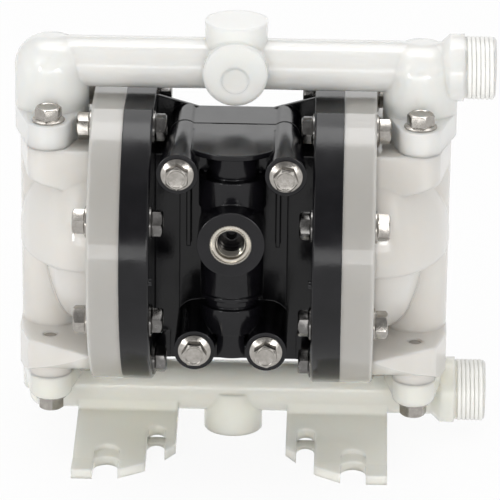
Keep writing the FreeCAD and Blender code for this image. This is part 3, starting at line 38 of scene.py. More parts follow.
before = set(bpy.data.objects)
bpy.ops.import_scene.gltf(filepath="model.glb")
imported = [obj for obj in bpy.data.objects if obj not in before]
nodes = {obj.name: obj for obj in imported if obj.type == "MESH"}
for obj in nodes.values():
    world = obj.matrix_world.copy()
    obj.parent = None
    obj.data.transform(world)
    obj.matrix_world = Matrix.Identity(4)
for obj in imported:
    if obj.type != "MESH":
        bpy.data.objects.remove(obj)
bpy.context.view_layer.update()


def place(x, y, z):
    """A point given in millimetres from the pump centre, in the frame."""
    return PUMP_CENTRE + Vector((x, y, z)) * MM


def deselect_everything():
    if bpy.context.object and bpy.context.object.mode != "OBJECT":
        bpy.ops.object.mode_set(mode="OBJECT")
    bpy.ops.object.select_all(action="DESELECT")


def take(thing):
    """Selects one object alone and makes it active."""
    deselect_everything()
    thing.select_set(True)
    bpy.context.view_layer.objects.active = thing
    return thing


def apply_modifiers(thing):
    take(thing)
    for modifier in list(thing.modifiers):
        bpy.ops.object.modifier_apply(modifier=modifier.name)


def freeze(thing):
    """Moves the object's place into its mesh."""
    take(thing)
    bpy.ops.object.transform_apply(location=True, rotation=True, scale=True)


def smooth_by_angle(thing, degrees=35):
    take(thing)
    bpy.ops.object.shade_smooth_by_angle(angle=math.radians(degrees))


# Camera

def set_camera():
    """The photograph's viewpoint: a long lens, a little right of the middle and above the pump."""
    azimuth, elevation, roll = math.radians(1.7), math.radians(21.67), math.radians(0.5)
    distance = 1.641
    width_in_view = 0.21
    film_width = 36.0
    back = Vector((math.sin(azimuth) * math.cos(elevation), -math.cos(azimuth) * math.cos(elevation),
                   math.sin(elevation)))
    data = bpy.data.cameras.new("camera")
    camera = bpy.data.objects.new("camera", data)
    bpy.context.scene.collection.objects.link(camera)
    data.sensor_width = film_width
    data.lens = film_width * distance / width_in_view
    data.shift_x = 15.09 / 500
    data.shift_y = -23.41 / 500
    data.clip_end = 20.0
    camera.location = PUMP_CENTRE + back * distance
    camera.rotation_mode = "QUATERNION"
    camera.rotation_quaternion = (-back).to_track_quat("-Z", "Y") @ Quaternion((0, 0, 1), roll)
    bpy.context.scene.camera = camera


# Shared shader effects

def new_group(name, inputs, outputs):
    group = bpy.data.node_groups.new(name, "ShaderNodeTree")
    for socket, kind, value in inputs:
        made = group.interface.new_socket(name=socket, in_out="INPUT", socket_type="NodeSocket" + kind)
        made.default_value = value
    for socket, kind in outputs:
        group.interface.new_socket(name=socket, in_out="OUTPUT", socket_type="NodeSocket" + kind)
    return group, group.nodes.new("NodeGroupInput"), group.nodes.new("NodeGroupOutput")


def noise(tree, coordinates, scale, detail=4.0):
    texture = tree.nodes.new("ShaderNodeTexNoise")
    texture.inputs["Detail"].default_value = detail
    if isinstance(scale, float):
        texture.inputs["Scale"].default_value = scale
    else:
        tree.links.new(scale, texture.inputs["Scale"])
    tree.links.new(coordinates, texture.inputs["Vector"])
    return texture.outputs["Fac"]


def spread(tree, value, low, high):
    """Maps the middle of a noise value to a range."""
    ranged = tree.nodes.new("ShaderNodeMapRange")
    ranged.inputs["From Min"].default_value = 0.3
    ranged.inputs["From Max"].default_value = 0.7
    for socket, end in (("To Min", low), ("To Max", high)):
        if isinstance(end, float):
            ranged.inputs[socket].default_value = end
        else:
            tree.links.new(end, ranged.inputs[socket])
    tree.links.new(value, ranged.inputs["Value"])
    return ranged.outputs["Result"]


def make_mottle():
    """Cloudy colour between two tones, with a matching spread of roughness."""
    group, start, end = new_group("mottle", [
        ("Tone", "Color", (1, 1, 1, 1)), ("Second Tone", "Color", (1, 1, 1, 1)), ("Scale", "Float", 40.0),
        ("Low Roughness", "Float", 0.3), ("High Roughness", "Float", 0.5),
    ], [("Color", "Color"), ("Roughness", "Float")])
    coordinates = group.nodes.new("ShaderNodeTexCoord").outputs["Object"]
    cloud = noise(group, coordinates, start.outputs["Scale"])
    mix = group.nodes.new("ShaderNodeMix")
    mix.data_type = "RGBA"
    group.links.new(spread(group, cloud, 0.0, 1.0), mix.inputs["Factor"])
    group.links.new(start.outputs["Tone"], mix.inputs[6])
    group.links.new(start.outputs["Second Tone"], mix.inputs[7])
    group.links.new(mix.outputs[2], end.inputs["Color"])
    group.links.new(spread(group, cloud, start.outputs["Low Roughness"], start.outputs["High Roughness"]),
                    end.inputs["Roughness"])
    return group


def make_surface():
    """Fine grain over softly rounded edges, as a normal."""
    group, start, end = new_group("surface", [
        ("Scale", "Float", 800.0), ("Waviness", "Float", 60.0), ("Strength", "Float", 0.1),
        ("Edge Radius", "Float", 0.0),
    ], [("Normal", "Vector")])
    coordinates = group.nodes.new("ShaderNodeTexCoord").outputs["Object"]
    fine = noise(group, coordinates, start.outputs["Scale"], 3.0)
    broad = noise(group, coordinates, start.outputs["Waviness"], 1.0)
    total = group.nodes.new("ShaderNodeMath")
    total.operation = "MULTIPLY_ADD"
    total.inputs[1].default_value = 3.0
    group.links.new(broad, total.inputs[0])
    group.links.new(fine, total.inputs[2])
    soft_edge = group.nodes.new("ShaderNodeBevel")
    soft_edge.samples = 8
    group.links.new(start.outputs["Edge Radius"], soft_edge.inputs["Radius"])
    relief = group.nodes.new("ShaderNodeBump")
    relief.inputs["Distance"].default_value = 0.2 * MM
    group.links.new(start.outputs["Strength"], relief.inputs["Strength"])
    group.links.new(soft_edge.outputs["Normal"], relief.inputs["Normal"])
    group.links.new(total.outputs["Value"], relief.inputs["Height"])
    group.links.new(relief.outputs["Normal"], end.inputs["Normal"])
    return group


MOTTLE = make_mottle()
SURFACE = make_surface()


def finish_material(name, tones, cloud_scale, roughness, bump, grain_scale=800.0, waviness=60.0,
                    settings=None, edge_round=0.0):
    """A material with a cloudy colour and roughness and a fine grain. edge_round is in millimetres."""
    material = bpy.data.materials.new(name)
    material.use_nodes = True
    tree = material.node_tree
    shader = tree.nodes["Principled BSDF"]
    cloud = tree.nodes.new("ShaderNodeGroup")
    cloud.node_tree = MOTTLE
    cloud.inputs["Tone"].default_value = (*tones[0], 1)
    cloud.inputs["Second Tone"].default_value = (*tones[1], 1)
    cloud.inputs["Scale"].default_value = cloud_scale
    cloud.inputs["Low Roughness"].default_value = roughness[0]
    cloud.inputs["High Roughness"].default_value = roughness[1]
    tree.links.new(cloud.outputs["Color"], shader.inputs["Base Color"])
    tree.links.new(cloud.outputs["Roughness"], shader.inputs["Roughness"])
    surface = tree.nodes.new("ShaderNodeGroup")
    surface.node_tree = SURFACE
    surface.inputs["Scale"].default_value = grain_scale
    surface.inputs["Waviness"].default_value = waviness
    surface.inputs["Strength"].default_value = bump
    surface.inputs["Edge Radius"].default_value = edge_round * MM
    tree.links.new(surface.outputs["Normal"], shader.inputs["Normal"])
    for socket, value in (settings or {}).items():
        shader.inputs[socket].default_value = value
    return material


def natural_plastic(name, tones, cloud_scale):
    return finish_material(name, tones, cloud_scale, (0.29, 0.38), 0.10, 500.0, 45.0, {
        "Subsurface Weight": 1.0, "Subsurface Radius": (0.85, 0.92, 1.0), "Subsurface Scale": 0.006,
        "Transmission Weight": 0.3, "Coat Weight": 0.8, "Coat Roughness": 0.04, "IOR": 1.45}, edge_round=2.0)


def paint_clamp_shade(material):
    """Painted shade: the milky wall's colour is multiplied down where the black cap lies close behind it."""
    darkest_until, clear_from = 56.5 * MM, 61.0 * MM
    tree = material.node_tree
    shader = tree.nodes["Principled BSDF"]
    colour = shader.inputs["Base Color"].links[0].from_socket
    parts = tree.nodes.new("ShaderNodeSeparateXYZ")
    tree.links.new(tree.nodes.new("ShaderNodeTexCoord").outputs["Object"], parts.inputs["Vector"])
    offset = tree.nodes.new("ShaderNodeMath")
    offset.operation = "SUBTRACT"
    offset.inputs[1].default_value = PUMP_CENTRE.x
    tree.links.new(parts.outputs["X"], offset.inputs[0])
    reach = tree.nodes.new("ShaderNodeMath")
    reach.operation = "ABSOLUTE"
    tree.links.new(offset.outputs["Value"], reach.inputs[0])
    depth = tree.nodes.new("ShaderNodeMapRange")
    depth.interpolation_type = "SMOOTHSTEP"
    depth.inputs["From Min"].default_value = darkest_until
    depth.inputs["From Max"].default_value = clear_from
    tree.links.new(reach.outputs["Value"], depth.inputs["Value"])
    # Painted shade: full strength near the cap, fading out by clear_from.
    darker = tree.nodes.new("ShaderNodeMix")
    darker.data_type = "RGBA"
    darker.blend_type = "MULTIPLY"
    darker.inputs["Factor"].default_value = 1.0
    darker.inputs[7].default_value = (0.60, 0.60, 0.595, 1)
    tree.links.new(colour, darker.inputs[6])
    mix = tree.nodes.new("ShaderNodeMix")
    mix.data_type = "RGBA"
    tree.links.new(depth.outputs["Result"], mix.inputs["Factor"])
    tree.links.new(darker.outputs[2], mix.inputs[6])
    tree.links.new(colour, mix.inputs[7])
    tree.links.new(mix.outputs[2], shader.inputs["Base Color"])
    return material


MATERIALS = {
    "clear_natural_plastic": natural_plastic(
        "clear_natural_plastic", ((0.88, 0.88, 0.85), (0.92, 0.92, 0.885)), 30.0),
    # The natural plastic again in dimmer, warmer tones: a painted shade on the caps, with the painted clamp
    # shade over it.
    "shaded_cap_plastic": paint_clamp_shade(natural_plastic(
        "shaded_cap_plastic", ((0.80, 0.77, 0.725), (0.86, 0.835, 0.79)), 24.0)),
    "cream_natural_plastic": natural_plastic(
        "cream_natural_plastic", ((0.96, 0.945, 0.81), (0.98, 0.97, 0.86)), 30.0),
    "black_moulding": finish_material(
        "black_moulding", ((0.003, 0.003, 0.0038), (0.006, 0.0056, 0.007)), 90.0,
        (0.10, 0.20), 0.10, 900.0, 70.0, {"IOR": 1.38}, edge_round=0.8),
    "stainless": finish_material(
        "stainless", ((0.33, 0.31, 0.285), (0.43, 0.41, 0.38)), 500.0,
        (0.16, 0.26), 0.06, 1500.0, 300.0, {"Metallic": 1.0}),
    # The stainless dimmed for the cap nuts: a painted shade and a painted dark reflection of the black recess
    # round them.
    "shaded_steel": finish_material(
        "shaded_steel", ((0.13, 0.125, 0.12), (0.19, 0.185, 0.18)), 500.0,
        (0.16, 0.28), 0.06, 1500.0, 300.0, {"Metallic": 1.0}),
    "thread_plastic": finish_material(
        "thread_plastic", ((0.77, 0.765, 0.735), (0.81, 0.805, 0.775)), 30.0,
        (0.25, 0.35), 0.05, 500.0, 45.0, {"IOR": 1.45}),
    "nickel_plate": finish_material(
        "nickel_plate", ((0.50, 0.47, 0.42), (0.60, 0.565, 0.50)), 300.0,
        (0.12, 0.22), 0.08, 1200.0, 300.0, {"Metallic": 1.0}),
    "gasket_rubber": finish_material(
        "gasket_rubber", ((0.012, 0.012, 0.012), (0.02, 0.02, 0.02)), 150.0, (0.6, 0.8), 0.4, 1200.0, 100.0),
    "seal_rubber": finish_material(
        "seal_rubber", ((0.015, 0.015, 0.015), (0.025, 0.025, 0.025)), 200.0, (0.5, 0.7), 0.4),
    "bushing_plastic": finish_material(
        "bushing_plastic", ((0.70, 0.66, 0.54), (0.76, 0.73, 0.62)), 120.0, (0.4, 0.55), 0.2),
    "white_fluoropolymer": finish_material(
        "white_fluoropolymer", ((0.82, 0.82, 0.80), (0.87, 0.87, 0.86)), 60.0, (0.35, 0.5), 0.15),
    "diaphragm_elastomer": finish_material(
        "diaphragm_elastomer", ((0.60, 0.55, 0.42), (0.68, 0.63, 0.50)), 80.0, (0.55, 0.7), 0.4),
    "polished_steel": finish_material(
        "polished_steel", ((0.66, 0.66, 0.66), (0.72, 0.72, 0.72)), 200.0,
        (0.08, 0.16), 0.1, 1500.0, 300.0, {"Metallic": 1.0}),
    "machined_aluminium": finish_material(
        "machined_aluminium", ((0.66, 0.67, 0.69), (0.74, 0.75, 0.77)), 300.0,
        (0.25, 0.4), 0.3, 1500.0, 300.0, {"Metallic": 1.0}),
    "black_anodised": finish_material(
        "black_anodised", ((0.012, 0.012, 0.013), (0.022, 0.022, 0.024)), 200.0, (0.4, 0.55), 0.1),
    "valve_ceramic": finish_material(
        "valve_ceramic", ((0.78, 0.76, 0.70), (0.84, 0.82, 0.77)), 200.0, (0.2, 0.3), 0.1),
    "muffler_plastic": finish_material(
        "muffler_plastic", ((0.02, 0.02, 0.02), (0.035, 0.035, 0.035)), 400.0,
        (0.6, 0.75), 0.6, 900.0, 300.0),
}

# The first prefix that a node's name starts with gives its finish, so longer names come first.
NODE_FINISH = (
    ("outlet_manifold", "clear_natural_plastic"), ("fluid_cap", "shaded_cap_plastic"),
    ("inlet_manifold", "cream_natural_plastic"), ("centre_body", "black_moulding"),
    ("valve_block_gasket", "gasket_rubber"), ("valve_block_screws", "stainless"),
    ("valve_block", "black_moulding"), ("air_cap", "black_moulding"), ("exhaust_cover", "black_moulding"),
    ("valve_end_plug", "black_moulding"), ("cap_bolts", "stainless"), ("cap_nuts", "stainless"),
    ("manifold_bolts", "stainless"), ("cover_screws", "stainless"), ("plate_screw", "stainless"),
    ("air_inlet_insert", "nickel_plate"), ("rod_bushing", "bushing_plastic"),
    ("pilot_bushing", "bushing_plastic"), ("rod_seal", "seal_rubber"), ("spool_rings", "seal_rubber"),
    ("seat_ring", "seal_rubber"), ("seat_", "white_fluoropolymer"), ("ball_", "white_fluoropolymer"),
    ("diaphragm_rod", "polished_steel"), ("pilot_rod", "polished_steel"),
    ("diaphragm_", "diaphragm_elastomer"),
    ("inner_plate", "machined_aluminium"), ("outer_plate", "white_fluoropolymer"),
    ("valve_spool", "black_anodised"), ("valve_slider", "valve_ceramic"), ("valve_plate", "valve_ceramic"),
    ("muffler", "muffler_plastic"),
)


def dress(thing, finish):
    thing.data.materials.clear()
    thing.data.materials.append(MATERIALS[finish])


def dress_nodes():
    for name, thing in nodes.items():
        finish = next(value for prefix, value in NODE_FINISH if name.startswith(prefix))
        dress(thing, finish)


# Light and floor

def area_light(name, size, energy, at, aim):
    data = bpy.data.lights.new(name, "AREA")
    data.shape = "RECTANGLE"
    data.size, data.size_y = size
    data.energy = energy
    light = bpy.data.objects.new(name, data)
    bpy.context.scene.collection.objects.link(light)
    light.location = at
    light.rotation_mode = "QUATERNION"
    light.rotation_quaternion = (Vector(aim) - Vector(at)).to_track_quat("-Z", "Y")
    return light


def camera_and_gloss(tree):
    """One for rays that the camera, a gloss or a clear surface sends, and zero for the rest."""
    path = tree.nodes.new("ShaderNodeLightPath")
    value = path.outputs["Is Camera Ray"]
    for kind in ("Is Glossy Ray", "Is Transmission Ray"):
        total = tree.nodes.new("ShaderNodeMath")
        total.operation = "MAXIMUM"
        tree.links.new(value, total.inputs[0])
        tree.links.new(path.outputs[kind], total.inputs[1])
        value = total.outputs["Value"]
    return value


DIFFUSE_LEVEL = 0.74
GLOSS_IN_FRONT = 0.3
FLOOR_WHITE = 0.91


def studio_strength(tree):
    """White to the camera, a plain level for the light, and in a gloss dimmer on the camera's side."""
    direction = tree.nodes.new("ShaderNodeTexCoord")
    parts = tree.nodes.new("ShaderNodeSeparateXYZ")
    tree.links.new(direction.outputs["Generated"], parts.inputs["Vector"])
    shade = tree.nodes.new("ShaderNodeMapRange")
    shade.interpolation_type = "SMOOTHSTEP"
    shade.inputs["From Min"].default_value = -0.8
    shade.inputs["From Max"].default_value = 0.1
    shade.inputs["To Min"].default_value = GLOSS_IN_FRONT
    shade.inputs["To Max"].default_value = 1.0
    tree.links.new(parts.outputs["Y"], shade.inputs["Value"])
    path = tree.nodes.new("ShaderNodeLightPath")
    level = tree.nodes.new("ShaderNodeMix")
    level.inputs["B"].default_value = DIFFUSE_LEVEL
    tree.links.new(path.outputs["Is Diffuse Ray"], level.inputs["Factor"])
    tree.links.new(shade.outputs["Result"], level.inputs["A"])
    seen = tree.nodes.new("ShaderNodeMath")
    seen.operation = "MAXIMUM"
    tree.links.new(level.outputs["Result"], seen.inputs[0])
    tree.links.new(path.outputs["Is Camera Ray"], seen.inputs[1])
    return seen.outputs["Value"]


def set_stage():
    world = bpy.data.worlds.new("studio")
    bpy.context.scene.world = world
    world.use_nodes = True
    tree = world.node_tree
    background = tree.nodes["Background"]
    background.inputs["Color"].default_value = (1, 1, 1, 1)
    tree.links.new(studio_strength(tree), background.inputs["Strength"])
    area_light("overhead_softbox", (1.0, 0.35), 2.8, (0, 0.05, 1.3), PUMP_CENTRE)
    gloss_card = area_light("gloss_card", (1.4, 0.9), 9.0, (0, 0.35, 1.3), PUMP_CENTRE)
    gloss_card.visible_diffuse = False
    gloss_card.visible_transmission = False
    area_light("low_fill", (1.4, 0.2), 3.0, (0, -1.1, 0.12), PUMP_CENTRE)
    area_light("left_softbox", (0.4, 0.9), 2.2, (-1.0, -0.9, 0.9), PUMP_CENTRE)
    area_light("right_softbox", (0.4, 0.9), 1.5, (1.0, -0.9, 0.9), PUMP_CENTRE)
    area_light("left_lamp", (0.16, 0.34), 2.8, (-0.94, -1.29, 0.27), PUMP_CENTRE)
    area_light("right_lamp", (0.42, 0.14), 2.6, (0.55, -1.5, 0.28), PUMP_CENTRE)
    area_light("rear_softbox", (1.8, 0.4), 1.2, (0, 1.6, 0.78), PUMP_CENTRE)
    deselect_everything()
    bpy.ops.mesh.primitive_plane_add(size=6.0, location=(0, 0, 0))
    floor = bpy.context.object
    floor.name = "floor"
    freeze(floor)
    material = bpy.data.materials.new("white_floor")
    material.use_nodes = True
    tree = material.node_tree
    shader = tree.nodes["Principled BSDF"]
    shader.inputs["Base Color"].default_value = (0.9, 0.9, 0.9, 1)
    shader.inputs["Roughness"].default_value = 0.8
    shader.inputs["Specular IOR Level"].default_value = 0.1
    glow = tree.nodes.new("ShaderNodeEmission")
    mix = tree.nodes.new("ShaderNodeMixShader")
    share = tree.nodes.new("ShaderNodeMath")
    share.operation = "MULTIPLY"
    share.inputs[1].default_value = FLOOR_WHITE
    tree.links.new(camera_and_gloss(tree), share.inputs[0])
    tree.links.new(share.outputs["Value"], mix.inputs["Fac"])
    tree.links.new(shader.outputs["BSDF"], mix.inputs[1])
    tree.links.new(glow.outputs["Emission"], mix.inputs[2])
    tree.links.new(mix.outputs["Shader"], tree.nodes["Material Output"].inputs["Surface"])
    floor.data.materials.append(material)


# Hexagon hardware

HEAD = {"height": 4.7, "flange_radius": 6.75, "flange_height": 1.3, "across_flats": 10.0}
NUT_HEIGHT = 5.4
SHANK_RADIUS = 3.0


def pick_faces(thing, wanted):
    """In edit mode, selects the faces that the test picks."""
    bpy.ops.mesh.select_all(action="DESELECT")
    mesh = bmesh.from_edit_mesh(thing.data)
    for face in mesh.faces:
        face.select_set(wanted(face))
    bmesh.update_edit_mesh(thing.data)


def washer_flange(height, radius, inner_radius):
    """The flange under a head: a short rim, then a cone up to the hexagon."""
    deselect_everything()
    bpy.ops.mesh.primitive_cylinder_add(vertices=48, radius=radius * MM, depth=height * 0.45 * MM,
                                        location=(0, 0, height * 0.225 * MM))
    flange = bpy.context.object
    freeze(flange)
    bpy.ops.object.mode_set(mode="EDIT")
    pick_faces(flange, lambda face: face.normal.z > 0.9)
    bpy.ops.mesh.inset(thickness=0.3 * MM, depth=0.15 * MM)
    bpy.ops.mesh.inset(thickness=(radius - inner_radius - 0.3) * MM, depth=height * 0.5 * MM)
    bpy.ops.object.mode_set(mode="OBJECT")
    return flange


def crowned_hexagon(top, across_flats):
    """A hexagon prism whose top corners are turned off to a circle."""
    deselect_everything()
    bpy.ops.mesh.primitive_cylinder_add(vertices=6, radius=across_flats / math.sqrt(3) * MM,
                                        depth=(top - 0.4) * MM, location=(0, 0, (top + 0.4) * 0.5 * MM))
    hexagon = bpy.context.object
    freeze(hexagon)
    rise, foot_radius, crown_radius = across_flats * 0.62, across_flats * 1.24, across_flats * 0.46
    deselect_everything()
    bpy.ops.mesh.primitive_cone_add(vertices=48, radius1=foot_radius * MM, radius2=crown_radius * MM,
                                    depth=rise * MM, location=(0, 0, (top - rise * 0.5) * MM))
    chamfer = bpy.context.object
    freeze(chamfer)
    crown = hexagon.modifiers.new("crown", "BOOLEAN")
    crown.operation = "INTERSECT"
    crown.object = chamfer
    crown.solver = "EXACT"
    apply_modifiers(hexagon)
    bpy.data.objects.remove(chamfer)
    return hexagon


def soften(thing, width):
    """A small bevel on every sharp edge."""
    bevel = thing.modifiers.new("edge", "BEVEL")
    bevel.width = width * MM
    bevel.segments = 2
    bevel.limit_method = "ANGLE"
    bevel.angle_limit = math.radians(30)
    apply_modifiers(thing)


def join(parts, name):
    deselect_everything()
    for part in parts:
        part.select_set(True)
    bpy.context.view_layer.objects.active = parts[0]
    bpy.ops.object.join()
    parts[0].name = name
    return parts[0]


def shank(length, at=0.0):
    """A plain shank with a chamfered tip, pointing down from the given height."""
    deselect_everything()
    bpy.ops.mesh.primitive_cylinder_add(vertices=24, radius=SHANK_RADIUS * MM, depth=length * MM,
                                        location=(0, 0, (at - length * 0.5) * MM))
    thing = bpy.context.object
    freeze(thing)
    bpy.ops.object.mode_set(mode="EDIT")
    pick_faces(thing, lambda face: face.normal.z < -0.9)
    bpy.ops.mesh.inset(thickness=0.5 * MM, depth=0.0)
    bpy.ops.transform.translate(value=(0, 0, -0.4 * MM))
    bpy.ops.object.mode_set(mode="OBJECT")
    return thing


def drill_through(thing, radius, sides):
    """Bores the piece along Z."""
    deselect_everything()
    bpy.ops.mesh.primitive_cylinder_add(vertices=sides, radius=radius * MM, depth=60 * MM)
    drill = bpy.context.object
    bore = thing.modifiers.new("bore", "BOOLEAN")
    bore.operation = "DIFFERENCE"
    bore.object = drill
    bore.solver = "EXACT"
    apply_modifiers(thing)
    bpy.data.objects.remove(drill)


def flange_bolt(name, length, across_flats=HEAD["across_flats"]):
    """A bolt whose seat is at its origin, head up."""
    top = HEAD["height"] + HEAD["flange_height"]
    hexagon = crowned_hexagon(top, across_flats)
    bpy.ops.object.mode_set(mode="EDIT")
    pick_faces(hexagon, lambda face: face.normal.z > 0.99 and face.calc_center_median().z > (top - 0.05) * MM)
    bpy.ops.mesh.inset(thickness=0.35 * MM, depth=0.0)
    bpy.ops.mesh.inset(thickness=0.35 * MM, depth=-0.35 * MM)
    bpy.ops.object.mode_set(mode="OBJECT")
    soften(hexagon, 0.12)
    flange = washer_flange(HEAD["flange_height"], HEAD["flange_radius"], across_flats * 0.5)
    soften(flange, 0.1)
    return join([hexagon, flange, shank(length)], name)


def flange_nut(name):
    """A nut whose seat is at its origin, bored through for the bolt."""
    hexagon = crowned_hexagon(NUT_HEIGHT, HEAD["across_flats"])
    flange = washer_flange(HEAD["flange_height"], HEAD["flange_radius"], HEAD["across_flats"] * 0.5)
    for part in (hexagon, flange):
        drill_through(part, SHANK_RADIUS + 0.05, 32)
    soften(hexagon, 0.1)
    return join([hexagon, flange], name)


def stand_ins(pattern, name, node, finish, places):
    """Copies the pattern to each (place, direction, turn) and joins them into one piece for the node."""
    copies = []
    for spot, direction, turn in places:
        copy = bpy.data.objects.new(name, pattern.data.copy())
        bpy.context.scene.collection.objects.link(copy)
        copy.rotation_mode = "QUATERNION"
        copy.rotation_quaternion = Vector(direction).to_track_quat("Z", "Y") @ Quaternion((0, 0, 1), turn)
        copy.location = spot
        copies.append(copy)
    piece = join(copies, name)
    freeze(piece)
    dress(piece, finish)
    smooth_by_angle(piece, 16)
    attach(piece, "housing")
    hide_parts(node)
    return piece


def set_hardware():
    """Flange-head bolts and nuts on the caps, the manifolds and the valve block."""
    circle, head_seat, nut_seat = 56.0, 58.5, 33.0
    cap_bolt = flange_bolt("cap_bolt_pattern", 30.4)
    cap_nut = flange_nut("cap_nut_pattern")
    for side_name, side in (("left", -1), ("right", 1)):
        heads = []
        nuts = []
        for number in range(8):
            angle = math.radians(22.5 + 45 * number)
            y, z = circle * math.sin(angle), circle * math.cos(angle)
            turn = math.radians(17 * number + 11)
            heads.append((place(side * head_seat, y, z), (side, 0, 0), turn))
            nuts.append((place(side * nut_seat, y, z), (-side, 0, 0), turn * 0.7))
        stand_ins(cap_bolt, "cap_bolt_set_" + side_name, "cap_bolts_" + side_name, "stainless",
                  heads)
        stand_ins(cap_nut, "cap_nut_set_" + side_name, "cap_nuts_" + side_name, "shaded_steel",
                  nuts)
    bolt_x, bolt_y, outlet_seat, inlet_seat = 76.3, 22.3, 54.25, -68.3
    outlet_bolt = flange_bolt("outlet_bolt_pattern", 19.25)
    inlet_bolt = flange_bolt("inlet_bolt_pattern", 26.3)
    upper = []
    lower = []
    for x_sign in (-1, 1):
        for y_sign in (-1, 1):
            turn = math.radians(30 + 14 * x_sign + 25 * y_sign)
            upper.append((place(bolt_x * x_sign, bolt_y * y_sign, outlet_seat), (0, 0, 1), turn))
            lower.append((place(bolt_x * x_sign, bolt_y * y_sign, inlet_seat), (0, 0, -1), turn))
    stand_ins(outlet_bolt, "outlet_bolt_set", "manifold_bolts_top", "stainless", upper)
    stand_ins(inlet_bolt, "inlet_bolt_set", "manifold_bolts_bottom", "stainless", lower)
    block_screw = flange_bolt("block_screw_pattern", 49.7, across_flats=8.9)
    block_front = -51.5
    screws = []
    for x, z, turn in ((-22.0, 42.6, 0.0), (22.0, 42.6, 0.35), (-14.7, -34.6, 0.5), (14.7, -34.6, 0.12)):
        screws.append((place(x, block_front, z), (0, -1, 0), turn))
    stand_ins(block_screw, "block_screw_set", "valve_block_screws", "stainless", screws)
    for pattern in (cap_bolt, cap_nut, outlet_bolt, inlet_bolt, block_screw):
        bpy.data.objects.remove(pattern)


# Threads, the insert's rim and the diaphragms

AIR_INLET_Z = 14.6


def recalculated(thing):
    """Merges doubles and turns every face outwards."""
    take(thing)
    bpy.ops.object.mode_set(mode="EDIT")
    bpy.ops.mesh.select_all(action="SELECT")
    bpy.ops.mesh.remove_doubles(threshold=0.00001)
    bpy.ops.mesh.normals_make_consistent(inside=False)
    bpy.ops.object.mode_set(mode="OBJECT")
    return thing


def helix_ridge(name, radius, reach, half_width, pitch, turns, steps):
    """A rounded ridge wound round Z at a radius, closed at both ends."""
    deselect_everything()
    bpy.ops.mesh.primitive_circle_add(vertices=8, radius=half_width * MM, rotation=(math.pi / 2, 0, 0))
    ridge = bpy.context.object
    ridge.name = name
    ridge.scale = (reach / half_width, 1, 1)
    ridge.location = (radius * MM, 0, 0)
    freeze(ridge)
    screw = ridge.modifiers.new("wind", "SCREW")
    screw.axis = "Z"
    screw.screw_offset = pitch * MM
    screw.iterations = turns
    screw.steps = steps
    screw.render_steps = steps
    apply_modifiers(ridge)
    bpy.ops.object.mode_set(mode="EDIT")
    bpy.ops.mesh.select_all(action="SELECT")
    bpy.ops.mesh.fill_holes(sides=0)
    bpy.ops.object.mode_set(mode="OBJECT")
    return recalculated(ridge)


def point_along(thing, spot, direction):
    """Turns the piece's Z to a direction and puts its origin at a place, in its mesh."""
    thing.rotation_mode = "QUATERNION"
    thing.rotation_quaternion = Vector(direction).to_track_quat("Z", "Y")
    thing.location = spot
    freeze(thing)


def set_threads():
    """The pipe threads on the two ports and in the air inlet insert."""
    pipe_pitch, thread_start, port_height = 1.81, 95.2, 72.6
    for tag, height, slot in (("outlet", port_height, "natural_polypropylene_outlet"),
                              ("inlet", -port_height, "natural_polypropylene_inlet")):
        thread = helix_ridge("port_thread_" + tag, 12.62, 0.45, 0.86, pipe_pitch, 6, 64)
        point_along(thread, place(thread_start, 0, height), (1, 0, 0))
        dress(thread, "thread_plastic")
        smooth_by_angle(thread, 30)
        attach(thread, "housing")
    inner = helix_ridge("insert_thread", 5.88, 0.42, 0.5, 1.2, 5, 48)
    point_along(inner, place(0, -49.2, AIR_INLET_Z), (0, -1, 0))
    dress(inner, "nickel_plate")
    smooth_by_angle(inner, 30)
    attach(inner, "housing")


def raise_rings(rings):
    """Insets the selected face through (step in, step up) pairs in millimetres."""
    for step_in, step_up in rings:
        bpy.ops.mesh.inset(thickness=step_in * MM, depth=step_up * MM)


def set_insert():
    """The plated insert: a knurled rim, a groove and a lip round the threaded bore."""
    teeth = 44
    deselect_everything()
    bpy.ops.mesh.primitive_cylinder_add(vertices=teeth * 2, radius=8.2 * MM, depth=10.6 * MM,
                                        location=(0, 0, -5.3 * MM))
    insert = bpy.context.object
    insert.name = "plated_insert"
    freeze(insert)
    bpy.ops.object.mode_set(mode="EDIT")
    mesh = bmesh.from_edit_mesh(insert.data)
    bpy.ops.mesh.select_all(action="DESELECT")
    for vertex in mesh.verts:
        step = round(math.degrees(math.atan2(vertex.co.y, vertex.co.x)) / (180 / teeth))
        vertex.select_set(step % 2 == 0 and vertex.co.z > -MM)
    mesh.select_flush_mode()
    bmesh.update_edit_mesh(insert.data)
    bpy.ops.transform.resize(value=(1.07, 1.07, 1.0))
    pick_faces(insert, lambda face: face.normal.z > 0.9)
    raise_rings([(0.12, 0.25), (0.25, 0.0), (0.1, -1.1), (0.75, 0.0), (0.1, 0.9), (0.2, 0.0), (0.75, -1.6)])
    bpy.ops.object.mode_set(mode="OBJECT")
    drill_through(insert, 5.86, 64)
    recalculated(insert)
    point_along(insert, place(0, -57.3, AIR_INLET_Z), (0, -1, 0))
    dress(insert, "nickel_plate")
    smooth_by_angle(insert, 28)
    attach(insert, "housing")
    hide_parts("air_inlet_insert")


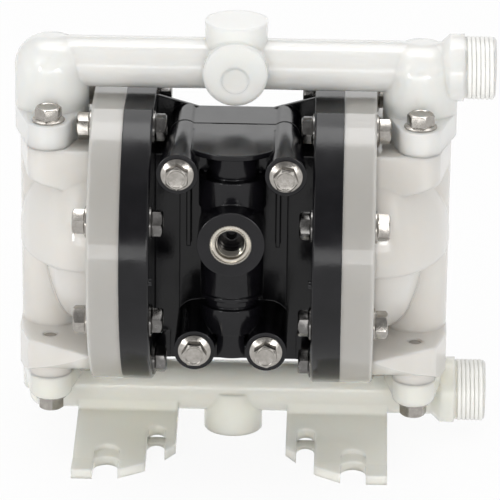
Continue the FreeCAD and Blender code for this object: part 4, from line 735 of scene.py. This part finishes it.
def set_corner_webs():
    """Small black plates that close the body's lower corners between the gussets and the air caps."""
    for side_name, side in (("left", -1), ("right", 1)):
        deselect_everything()
        bpy.ops.mesh.primitive_cube_add(size=1.0)
        web = bpy.context.object
        web.name = "corner_web_" + side_name
        web.scale = (6.9 * MM, 1.8 * MM, 13.0 * MM)
        web.location = place(side * 29.75, -9.6, -49.2)
        freeze(web)
        bpy.ops.object.mode_set(mode="EDIT")
        outer = place(side * 32.9, 0, 0).x
        bpy.ops.mesh.select_all(action="DESELECT")
        mesh = bmesh.from_edit_mesh(web.data)
        for edge in mesh.edges:
            edge.select_set(all(abs(vertex.co.x - outer) < MM and vertex.co.z < place(0, 0, -54).z
                                for vertex in edge.verts))
        bmesh.update_edit_mesh(web.data)
        bpy.ops.mesh.bevel(offset=2.2 * MM, segments=4, affect="EDGES")
        bpy.ops.object.mode_set(mode="OBJECT")
        soften(web, 0.25)
        recalculated(web)
        dress(web, "black_moulding")
        smooth_by_angle(web, 35)
        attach(web, "housing")


def set_diaphragms():
    """Diaphragms that bend between the clamped rim and the plates."""
    rim, thickness, middle = 46.3, 2.0, 45.2
    seat, plate, hub_half, hub_middle = 39.3, 26.0, 1.2, 50.0
    steps = 10
    share = [(step / steps) ** 2 * (3 - 2 * step / steps) for step in range(steps + 1)]
    for side_name, side in (("left", -1), ("right", 1)):
        deselect_everything()
        bpy.ops.mesh.primitive_cylinder_add(vertices=128, radius=rim * MM, depth=thickness * MM,
                                            location=(0, 0, middle * MM))
        disc = bpy.context.object
        disc.name = "flexing_diaphragm_" + side_name
        freeze(disc)
        bpy.ops.object.mode_set(mode="EDIT")
        for face_sign in (1, -1):
            pick_faces(disc, lambda face: face.normal.z * face_sign > 0.9)
            rise = (hub_middle - middle) * face_sign + hub_half - thickness / 2
            turn_in = seat - face_sign * 0.9
            turn_out = plate + face_sign * 0.9
            raise_rings([(rim - turn_in, 0.0)])
            raise_rings([((turn_in - turn_out) / steps, (share[step + 1] - share[step]) * rise)
                         for step in range(steps)])
            raise_rings([(turn_out - 3.05, 0.0)])
        pick_faces(disc, lambda face: len(face.verts) > 4)
        bpy.ops.mesh.bridge_edge_loops()
        bpy.ops.object.mode_set(mode="OBJECT")
        recalculated(disc)
        point_along(disc, PUMP_CENTRE, (side, 0, 0))
        dress(disc, "diaphragm_elastomer")
        smooth_by_angle(disc, 40)
        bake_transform(disc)
        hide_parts("diaphragm_" + side_name)


def set_pieces():
    dress_nodes()
    set_hardware()
    set_threads()
    set_insert()
    set_corner_webs()
    set_diaphragms()


set_pieces()
set_stage()
set_camera()
bpy.context.scene.view_settings.view_transform = "Standard"
